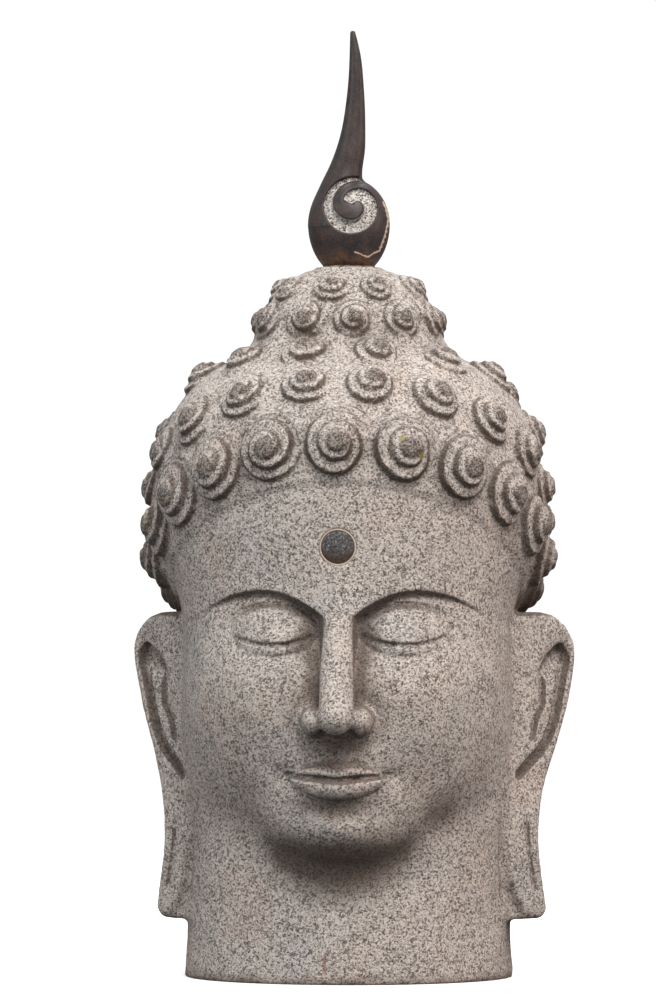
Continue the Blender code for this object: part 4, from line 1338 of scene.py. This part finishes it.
def honed_disc_stone(settings):
    """Dark basalt with small grey and white crystals; painted shadow and brown glue at its lower
    edge.
    """
    s = Shader("honed_basalt", 0.5)
    lot = s.split(s.cells(0.8, s.shaken(0.6, 0.8)))
    fine = s.noise(0.4, 2.0, 0.6)
    draw = s.stirred(lot[0], fine, 0.4)
    dark = settings.disc_dark
    colour = s.ramp(
        draw,
        (
            (0.1, [c * 0.35 for c in dark]),
            (0.35, dark),
            (0.7, [c * 1.5 for c in dark]),
            (0.93, [c * 2.4 for c in dark]),
            (1.0, (0.42, 0.4, 0.4)),
        ),
    )
    # Painted shadow, with brown glue, along the disc's lower edge
    colour = s.mix(s.painted("low_edge_shadow_and_glue"), colour, (0.07, 0.04, 0.02))
    return s.finish(colour, s.sum(s.times(lot[0], 0.5), fine), 0.2, 0.4)


def cream_filler(settings):
    """Lime filler, finely gritty."""
    s = Shader("lime_filler", 0.9)
    grit = s.noise(0.7, 3.0, 0.7)
    pale = settings.filler
    dim, lit = ([c * factor for c in pale] for factor in (0.55, 1.15))
    colour = s.ramp(grit, ((0.3, dim), (0.5, pale), (0.7, lit)))
    return s.finish(colour, grit, 0.3, 0.6)


def old_mortar(settings):
    """Grey-green mortar with brown stains, squeezed out under the finial."""
    s = Shader("old_mortar", 0.9)
    grit = s.noise(1.1, 3.0, 0.7)
    colour = s.ramp(
        s.noise(5.0, 3.0, 0.6),
        ((0.35, (0.06, 0.04, 0.03)), (0.5, (0.2, 0.2, 0.17)), (0.65, (0.3, 0.27, 0.22))),
    )
    colour = s.shade(colour, s.sum(grit, 0.5))
    return s.finish(colour, grit, 0.5, 0.7)


# Settings, with their defaults


def colour_setting(name, description, default):
    return FloatVectorProperty(
        name=name, description=description, default=default, subtype="COLOR", min=0, max=1
    )


class StoneHeadSettings(bpy.types.PropertyGroup):
    curl_size: FloatProperty(
        name="Curl size",
        description="Size of each curl as a share of its place on the scalp",
        default=1.0,
        min=0.5,
        max=1.3,
        subtype="FACTOR",
    )
    curl_unevenness: FloatProperty(
        name="Uneven curls",
        description="How far the curls differ in size",
        default=0.04,
        min=0,
        max=0.3,
        subtype="FACTOR",
    )
    curl_seed: IntProperty(
        name="Curl seed", description="Starts the small differences between curls", default=7
    )
    unevenness: FloatProperty(
        name="Unevenness",
        description="Depth in millimetres of the broad waves that hand work leaves",
        default=0.45,
        min=0,
        max=3,
    )
    tool_marks: FloatProperty(
        name="Tool marks",
        description="Depth in millimetres of the small marks of the chisel",
        default=0.22,
        min=0,
        max=2,
    )
    # Strength of the dirt and the painted shade in the hollows
    dirt_and_shade: FloatProperty(
        name="Dirt",
        description="How dark the hollows are",
        default=0.75,
        min=0,
        max=1,
        subtype="FACTOR",
    )
    # Strength of the painted shadow, with dirt, under overhangs
    overhang_shade_and_dirt_strength: FloatProperty(
        name="Sheltered dirt",
        description="How dark the stone is where something above keeps the rain off",
        default=0.78,
        min=0,
        max=1,
        subtype="FACTOR",
    )
    light_grain: colour_setting("Light grain", "The stone's feldspar", (0.66, 0.595, 0.55))
    middle_grain: colour_setting("Middle grain", "The stone's ground", (0.45, 0.4, 0.365))
    dark_grain: colour_setting("Dark grain", "The stone's mica", (0.1, 0.085, 0.077))
    warm_patch: colour_setting("Warm patches", "Tint of the warmer patches", (1.0, 0.86, 0.8))
    cool_patch: colour_setting("Cool patches", "Tint of the cooler patches", (0.82, 0.88, 0.95))
    # Colour of the dirt and of the painted shade in hollows, under overhangs and on curl walls
    dirt_and_shade_colour: colour_setting("Dirt colour", "Dirt in the hollows", (0.095, 0.066, 0.049))
    foot_stain: colour_setting("Foot stain", "Rust-brown rim of the neck", (0.2, 0.12, 0.08))
    lichen: colour_setting("Lichen", "Yellow lichen spots", (0.4, 0.33, 0.07))


class DiscSettings(bpy.types.PropertyGroup):
    disc_dark: colour_setting("Disc", "The dark plug's stone", (0.075, 0.072, 0.075))
    filler: colour_setting("Filler", "The pale line round the disc", (0.64, 0.52, 0.42))


class FinialSettings(bpy.types.PropertyGroup):
    finial_dark: colour_setting("Dark stone", "The finial's darkest tone", (0.022, 0.018, 0.02))
    finial_brown: colour_setting("Brown stone", "The finial's browner tone", (0.06, 0.036, 0.032))
    finial_scratch: colour_setting("Scratches", "Rubbed and scratched places", (0.2, 0.17, 0.165))
    channel_colour: colour_setting("Channel", "Floor of the pecked channel", (0.56, 0.52, 0.49))


class StageSettings(bpy.types.PropertyGroup):
    azimuth: FloatProperty(
        name="Camera azimuth",
        description="How far the camera stands to the side",
        default=math.radians(3.5),
        subtype="ANGLE",
    )
    distance: FloatProperty(
        name="Camera distance",
        description="From the camera to the head's axis",
        default=4.5,
        unit="LENGTH",
        subtype="DISTANCE",
    )
    height: FloatProperty(
        name="Camera height",
        description="Height of the level camera",
        default=0.3023,
        unit="LENGTH",
        subtype="DISTANCE",
    )
    aside: FloatProperty(
        name="Camera aside",
        description="How far the camera is moved across its view, to the left",
        default=0.013,
        unit="LENGTH",
        subtype="DISTANCE",
    )
    lens: FloatProperty(name="Lens", description="Focal length in millimetres", default=255)
    dome: FloatProperty(name="Dome light", description="Strength of the white dome", default=0.58)
    key: FloatProperty(name="Key light", description="Power of the main lamp in watts", default=62)
    floor: colour_setting("Floor", "Colour of the floor", (0.86, 0.86, 0.86))
    floor_glow: FloatProperty(
        name="Floor glow",
        description="How much the floor shines by itself, as a light table does",
        default=0.5,
    )


# Operators


# Soft round lamps: place and size in metres, share of the key lamp's power, colour
LAMPS = (
    ("key_lamp", (0.7, -2.0, 2.5), 1.3, 1.0, (1, 0.97, 0.93)),
    ("fill_lamp", (-2.2, -1.9, 1.2), 1.6, 0.23, (0.93, 0.97, 1)),
    ("top_lamp", (0.2, 0.9, 2.6), 1.4, 0.35, (1, 1, 1)),
    ("warm_lamp", (2.3, -0.7, 0.9), 1.2, 0.17, (1, 0.7, 0.58)),
)
LAMPS_AIM = (0, 0, 0.28)
FLOOR_RADIUS = 1.6
BACKDROP = 1.05
DOME_FROM_BELOW = 0.2
DOME_TINT = (1, 0.99, 0.975, 1)


class STONEHEAD_OT_set_stage(bpy.types.Operator):
    """Sets up the floor, the white surroundings, the lamps and the camera"""

    bl_idname = "stone_head.set_stage"
    bl_label = "Set the stage"

    def execute(self, context):
        settings = context.scene.stone_head_stage
        side = Vector((math.cos(settings.azimuth), math.sin(settings.azimuth), 0))
        back = Vector((math.sin(settings.azimuth), -math.cos(settings.azimuth), 0))
        view = bpy.data.cameras.new("studio_camera")
        view.lens = settings.lens
        view.clip_end = 50
        camera = bpy.data.objects.new("studio_camera", view)
        camera.location = back * settings.distance - side * settings.aside
        camera.location.z = settings.height
        camera.rotation_euler = (math.pi / 2, 0, settings.azimuth)
        context.scene.collection.objects.link(camera)
        context.scene.camera = camera
        for name, place, size, share, colour in LAMPS:
            self.lamp(name, place, size, settings.key * share, colour)
        self.surroundings(settings)
        bm = bmesh.new()
        bmesh.ops.create_circle(bm, cap_ends=True, segments=96, radius=FLOOR_RADIUS)
        floor = bpy.data.objects.new("studio_floor", mesh_of(bm, "studio_floor"))
        context.scene.collection.objects.link(floor)
        floor.visible_diffuse = floor.visible_glossy = False
        s = Shader("light_table", 0.9)
        sockets = s.principled.inputs
        sockets["Base Color"].default_value = (*settings.floor, 1)
        sockets["Specular IOR Level"].default_value = 0.1
        sockets["Emission Color"].default_value = (1, 1, 1, 1)
        sockets["Emission Strength"].default_value = settings.floor_glow
        floor.data.materials.append(s.material)
        context.scene.view_settings.view_transform = "Standard"
        return {"FINISHED"}

    def lamp(self, name, place, size, power, colour):
        light = bpy.data.lights.new(name, "AREA")
        light.shape = "DISK"
        light.size = size
        light.energy = power
        light.color = colour
        lamp = bpy.data.objects.new(name, light)
        lamp.location = place
        aim = Vector(LAMPS_AIM) - Vector(place)
        lamp.rotation_euler = aim.to_track_quat("-Z", "Y").to_euler()
        bpy.context.scene.collection.objects.link(lamp)

    def surroundings(self, settings):
        """A white backdrop all round, and a softer dome for the light that it gives."""
        world = bpy.data.worlds.new("white_studio")
        world.use_nodes = True
        bpy.context.scene.world = world
        tree = world.node_tree
        shown = tree.nodes["Background"]
        shown.inputs["Color"].default_value = (1, 1, 1, 1)
        shown.inputs["Strength"].default_value = BACKDROP
        way = node(tree, "ShaderNodeTexCoord").outputs["Generated"]
        up = node(tree, "ShaderNodeSeparateXYZ", {0: way}).outputs["Z"]
        fade = node(tree, "ShaderNodeMapRange", {"Value": up, "From Min": -0.5, "From Max": 0.7})
        fade.inputs["To Min"].default_value = settings.dome * DOME_FROM_BELOW
        fade.inputs["To Max"].default_value = settings.dome
        lit = node(tree, "ShaderNodeBackground", {"Color": DOME_TINT, "Strength": fade.outputs[0]})
        seen = node(tree, "ShaderNodeLightPath").outputs["Is Camera Ray"]
        both = node(tree, "ShaderNodeMixShader", {0: seen})
        tree.links.new(lit.outputs[0], both.inputs[1])
        tree.links.new(shown.outputs[0], both.inputs[2])
        tree.links.new(both.outputs[0], tree.nodes["World Output"].inputs["Surface"])


# Voxel sizes in PARTs, from the rough block to the finished stone, and triangles kept
ROUGH_VOXEL, MIDDLE_VOXEL, FINE_VOXEL = 4, 2.4, 1.15
HEAD_TRIANGLES = 190_000

# How far out the painted shade and dirt of the hollows look for stone round, as (reach in mm,
# weight), and how far in a sharp edge, and how far up an overhang for the painted shadow, are
# looked for
HOLLOW_SHADE_AND_DIRT = ((3, 0.5), (8, 0.5), (20, 0.55), (45, 0.8))
HOLLOW_SHADE_MOST = 1.6
EDGE_REACH = 2.5
OVERHANG_SHADE_REACH = 55


class STONEHEAD_OT_carve_head(bpy.types.Operator):
    """Carves the head with its curls, ears and neck from one stone"""

    bl_idname = "stone_head.carve_head"
    bl_label = "Carve the head"

    def execute(self, context):
        settings = context.scene.stone_head_stone
        granite = speckled_stone(settings)
        places = curl_places()
        if not places:
            raise RuntimeError("no curl found room on the scalp")
        voxel = FINE_VOXEL * PART
        stone = reskinned(roughed_out(), ROUGH_VOXEL * PART)
        carve(stone, head_form, PART)
        stone = reskinned(stone, MIDDLE_VOXEL * PART)
        carve(stone, head_form, PART, rounds=4)
        stone = reskinned(stone, voxel)
        carve(stone, head_form, PART, rounds=3)
        bm = bmesh.new()
        bm.from_mesh(stone)
        bm.from_mesh(curls_mesh(places, settings, granite))
        bm.to_mesh(stone)
        bm.free()
        stone = reskinned(stone, voxel)
        carve(stone, head_form, PART, 2, where=self.off_the_curls)
        weathered(stone, settings)
        stone = thinned(stone, HEAD_TRIANGLES)
        self.stains(stone, places)
        new_piece("carved_head", stone, granite, "speckled_stone", "head")
        return {"FINISHED"}

    def off_the_curls(self, p):
        """Which points are on the bare stone, or above the seat's cut."""
        near = np.abs(head_form(p)) < 0.8
        return (near & (above_hairline(p) < -SPARE)) | (p[:, 2] > SEAT_TOP - 1)

    def stains(self, mesh, places):
        """Paints shade and dirt in the hollows and under overhangs, the sharp edges and the curls'
        parts.
        """
        # Painted shade, with dirt, in the hollows
        found = closeness(mesh, [reach * MM for reach, _ in HOLLOW_SHADE_AND_DIRT])
        recess = sum(near * weight for near, (_, weight) in zip(found, HOLLOW_SHADE_AND_DIRT))
        paint(mesh, "recess", np.clip(recess, 0, HOLLOW_SHADE_MOST))
        paint(mesh, "edge", closeness(mesh, (EDGE_REACH * MM,), -1)[0])
        # Painted shadow, with dirt, under overhangs such as the jaw, nose, brows and curls
        found = [overhang_shade_and_dirt(mesh, (x, y, 1), OVERHANG_SHADE_REACH * MM) for x, y in OVERHANG_SHADE_WAYS]
        overhang_shade_mask = spread(mesh, sum(found) / len(found), OVERHANG_SHADE_ROUNDS)
        overhang_shade_mask *= np.interp(coordinates(mesh)[:, 2] / PART, OVERHANG_SHADE_HEIGHTS, OVERHANG_SHADE_SHARES)
        paint(mesh, "overhang_shade_and_dirt", overhang_shade_mask)
        paint_curl_dirt_and_shade(mesh, places)


class STONEHEAD_OT_set_disc(bpy.types.Operator):
    """Lets the dark disc into the forehead with a line of pale filler round it"""

    bl_idname = "stone_head.set_disc"
    bl_label = "Set the disc"

    def execute(self, context):
        settings = context.scene.stone_head_disc
        point, outward = DISC_SPOT
        turned = Vector(outward).to_track_quat("Z", "Y").to_matrix().to_4x4()
        place = Matrix.Translation(Vector(point) * PART) @ turned
        disc = self.turned_ring(((0, -0.2), (0.93, -0.25), (0.985, -0.55), (1.0, -1.1)), 0)
        plug = new_piece(
            "forehead_plug", disc, honed_disc_stone(settings), "disc_stone", "forehead_disc"
        )
        block = coordinates(disc)
        off = np.hypot(block[:, 0], block[:, 1]) / DISC_RADIUS
        # The lower edge's mark: painted shadow with brown glue
        low = smoothstep(0.3, -0.8, block[:, 1] / DISC_RADIUS) * smoothstep(0.8, 0.98, off)
        paint(disc, "low_edge_shadow_and_glue", low)
        plug.data.transform(place)
        filler = self.turned_ring(
            ((1.012, -1.6), (1.015, -0.5), (1.04, -0.22), (1.08, -0.16), (1.12, -0.4)), 0.012
        )
        ring = new_piece("disc_filler", filler, cream_filler(settings), "speckled_stone")
        ring.data.transform(place)
        return {"FINISHED"}

    def turned_ring(self, profile, wander):
        """A turned shape from (share of the disc's radius, height in mm) points, closed below."""
        segments, bm = 120, bmesh.new()
        hollow = profile[0][0] > 0
        foot = -DISC_DEPTH / MM if not hollow else -3.0
        line = [*profile, (profile[-1][0], foot), (profile[0][0], foot)]
        loops = []
        for share, height in line:
            loop = []
            for i in range(segments):
                turn = 2 * math.pi * i / segments
                lean = (math.cos(turn), math.sin(turn), height * 0.2)
                drift = noise.noise(Vector(lean) * 3.1) * wander
                radius = DISC_RADIUS * (share + drift * (share > 1.05))
                loop.append(
                    bm.verts.new((radius * math.cos(turn), radius * math.sin(turn), height * MM))
                )
            loops.append(loop)
        for a, b in zip(loops, [*loops[1:], loops[0]]):
            for i in range(segments):
                j = (i + 1) % segments
                bm.faces.new((a[i], a[j], b[j], b[i]))
        bmesh.ops.remove_doubles(bm, verts=bm.verts, dist=MM / 1000)
        bmesh.ops.dissolve_degenerate(bm, edges=bm.edges, dist=MM / 1000)
        bmesh.ops.recalc_face_normals(bm, faces=bm.faces)
        made = mesh_of(bm, "turned")
        made.shade_smooth()
        return made


# The finial's voxel sizes in its own parts, its triangles, and its bead of mortar: corners round
# the foot and round the bead, how far it lies in from the foot's edge, half width and half
# height, and how high its middle lies over the seat, in mm
FLAME_ROUGH_VOXEL, FLAME_FINE_VOXEL = 0.9, 0.5
FLAME_TRIANGLES = 110_000
BEAD_AROUND, BEAD_ACROSS = 96, 12
BEAD_IN = 0.4
BEAD_HALF_WIDTH, BEAD_HALF_HEIGHT = 1.3, 0.75
BEAD_UP = 0.2


class STONEHEAD_OT_carve_finial(bpy.types.Operator):
    """Carves the flame finial and beds it on the topknot"""

    bl_idname = "stone_head.carve_finial"
    bl_label = "Carve the finial"

    def execute(self, context):
        settings = context.scene.stone_head_finial
        rough, fine = FLAME_ROUGH_VOXEL * FLAME_PART, FLAME_FINE_VOXEL * FLAME_PART
        mesh = reskinned(self.block(), rough)
        carve(mesh, flame_form, FLAME_PART)
        mesh = reskinned(mesh, fine)
        carve(mesh, flame_form, FLAME_PART, rounds=4)
        mesh = thinned(mesh, FLAME_TRIANGLES)
        self.marks(mesh)
        place = Matrix.Translation((0, 0, FINIAL_LOW.z))
        mesh.transform(place)
        new_piece(
            "carved_flame", mesh, dark_flame_stone(settings), "dark_stone", "flame_finial"
        )
        self.bed(settings)
        return {"FINISHED"}

    def block(self):
        """A tapering bar along the flame's spine, with a ball for the bulb."""
        spine = bpy.data.curves.new("flame_spine", "CURVE")
        spine.dimensions = "3D"
        spine.bevel_depth = FLAME_PART
        spine.bevel_resolution = 4
        spine.use_fill_caps = True
        heights = np.linspace(BULB_MIDDLE, FLAME_TALL - FLAME_TIP / 2, FLAME_STATIONS)
        leans = spline(heights, FLAME_HEIGHTS, FLAME_LEAN)
        halves = spline(heights, FLAME_HEIGHTS, FLAME_HALF_WIDTH)
        bar = spine.splines.new("POLY")
        bar.points.add(FLAME_STATIONS - 1)
        for point, lean, height, half in zip(bar.points, leans, heights, halves):
            point.co = (lean * FLAME_PART, 0, height * FLAME_PART, 1)
            point.radius = half
        guide = bpy.data.objects.new("flame_spine", spine)
        bpy.context.scene.collection.objects.link(guide)
        graph = bpy.context.evaluated_depsgraph_get()
        mesh = bpy.data.meshes.new_from_object(guide.evaluated_get(graph), depsgraph=graph)
        bpy.data.objects.remove(guide)
        bm = bmesh.new()
        bm.from_mesh(mesh)
        bmesh.ops.remove_doubles(bm, verts=bm.verts, dist=MM / 100)
        add_ball(bm, (BULB_LEAN, 0, BULB_MIDDLE), (*BULB_RADII[:2], BULB_DROP), FLAME_PART)
        bm.to_mesh(mesh)
        bm.free()
        return mesh

    def marks(self, mesh):
        """Marks the channel's floor, the mended break and the stained foot."""
        p = coordinates(mesh) / FLAME_PART
        x, y, z = p[:, 0], p[:, 1], p[:, 2]
        floor = channel(x - SPIRAL_EYE[0], z - SPIRAL_EYE[1]) * smoothstep(3, 8, np.abs(y))
        paint(mesh, "channel", floor)
        away = off_path(x, z, MENDED_BREAK)
        wobble = 0.5 * np.sin(z * 1.9) + 0.3 * np.sin(x * 3.1 + z)
        paint(mesh, "mend", smoothstep(1.15, 0.25, np.abs(away + 0.4 * wobble)) * (y < 0))
        paint(mesh, "base_stain", smoothstep(11, 1, z + 2 * np.sin(x * 0.4)))

    def bed(self, settings):
        """A low, uneven bead of old mortar between the seat and the finial's foot."""
        bm = bmesh.new()
        loops = []
        radius = (FOOT_RADIUS - BEAD_IN) * FLAME_PART / MM
        for i in range(BEAD_AROUND):
            turn = 2 * math.pi * i / BEAD_AROUND
            here = Vector((math.cos(turn), math.sin(turn), 0))
            swell = 1.0 + 0.55 * noise.noise(here * 2.3) + 0.3 * noise.noise(here * 7)
            loop = []
            for j in range(BEAD_ACROSS):
                way = 2 * math.pi * j / BEAD_ACROSS
                out = radius + BEAD_HALF_WIDTH * swell * math.cos(way)
                up = HEAD_HIGH.z / MM + BEAD_UP + BEAD_HALF_HEIGHT * swell * math.sin(way)
                loop.append(bm.verts.new((here.x * out * MM, here.y * out * MM, up * MM)))
            loops.append(loop)
        for a, b in zip(loops, [*loops[1:], loops[0]]):
            for j in range(BEAD_ACROSS):
                k = (j + 1) % BEAD_ACROSS
                bm.faces.new((a[j], b[j], b[k], a[k]))
        bmesh.ops.recalc_face_normals(bm, faces=bm.faces)
        bead = mesh_of(bm, "mortar_bead")
        bead.shade_smooth()
        new_piece("finial_mortar", bead, old_mortar(settings), "speckled_stone")


class STONEHEAD_PT_panel(bpy.types.Panel):
    bl_label = "Stone Head"
    bl_idname = "STONEHEAD_PT_panel"
    bl_space_type = "VIEW_3D"
    bl_region_type = "UI"
    bl_category = "Stone Head"

    def draw(self, context):
        for group, operator in STEPS:
            box = self.layout.box()
            settings = getattr(context.scene, group)
            for name in settings.__annotations__:
                box.prop(settings, name)
            box.operator(operator)


STEPS = (
    ("stone_head_stage", "stone_head.set_stage"),
    ("stone_head_stone", "stone_head.carve_head"),
    ("stone_head_disc", "stone_head.set_disc"),
    ("stone_head_finial", "stone_head.carve_finial"),
)
GROUPS = {
    "stone_head_stage": StageSettings,
    "stone_head_stone": StoneHeadSettings,
    "stone_head_disc": DiscSettings,
    "stone_head_finial": FinialSettings,
}
CLASSES = (
    *GROUPS.values(),
    STONEHEAD_OT_set_stage,
    STONEHEAD_OT_carve_head,
    STONEHEAD_OT_set_disc,
    STONEHEAD_OT_carve_finial,
    STONEHEAD_PT_panel,
)


def register():
    for kind in CLASSES:
        bpy.utils.register_class(kind)
    for name, group in GROUPS.items():
        setattr(bpy.types.Scene, name, PointerProperty(type=group))


def unregister():
    for name in GROUPS:
        delattr(bpy.types.Scene, name)
    for kind in reversed(CLASSES):
        bpy.utils.unregister_class(kind)


def main():
    register()
    bpy.ops.stone_head.set_stage()
    bpy.ops.stone_head.carve_head()
    bpy.ops.stone_head.set_disc()
    bpy.ops.stone_head.carve_finial()


if __name__ == "__main__":
    main()
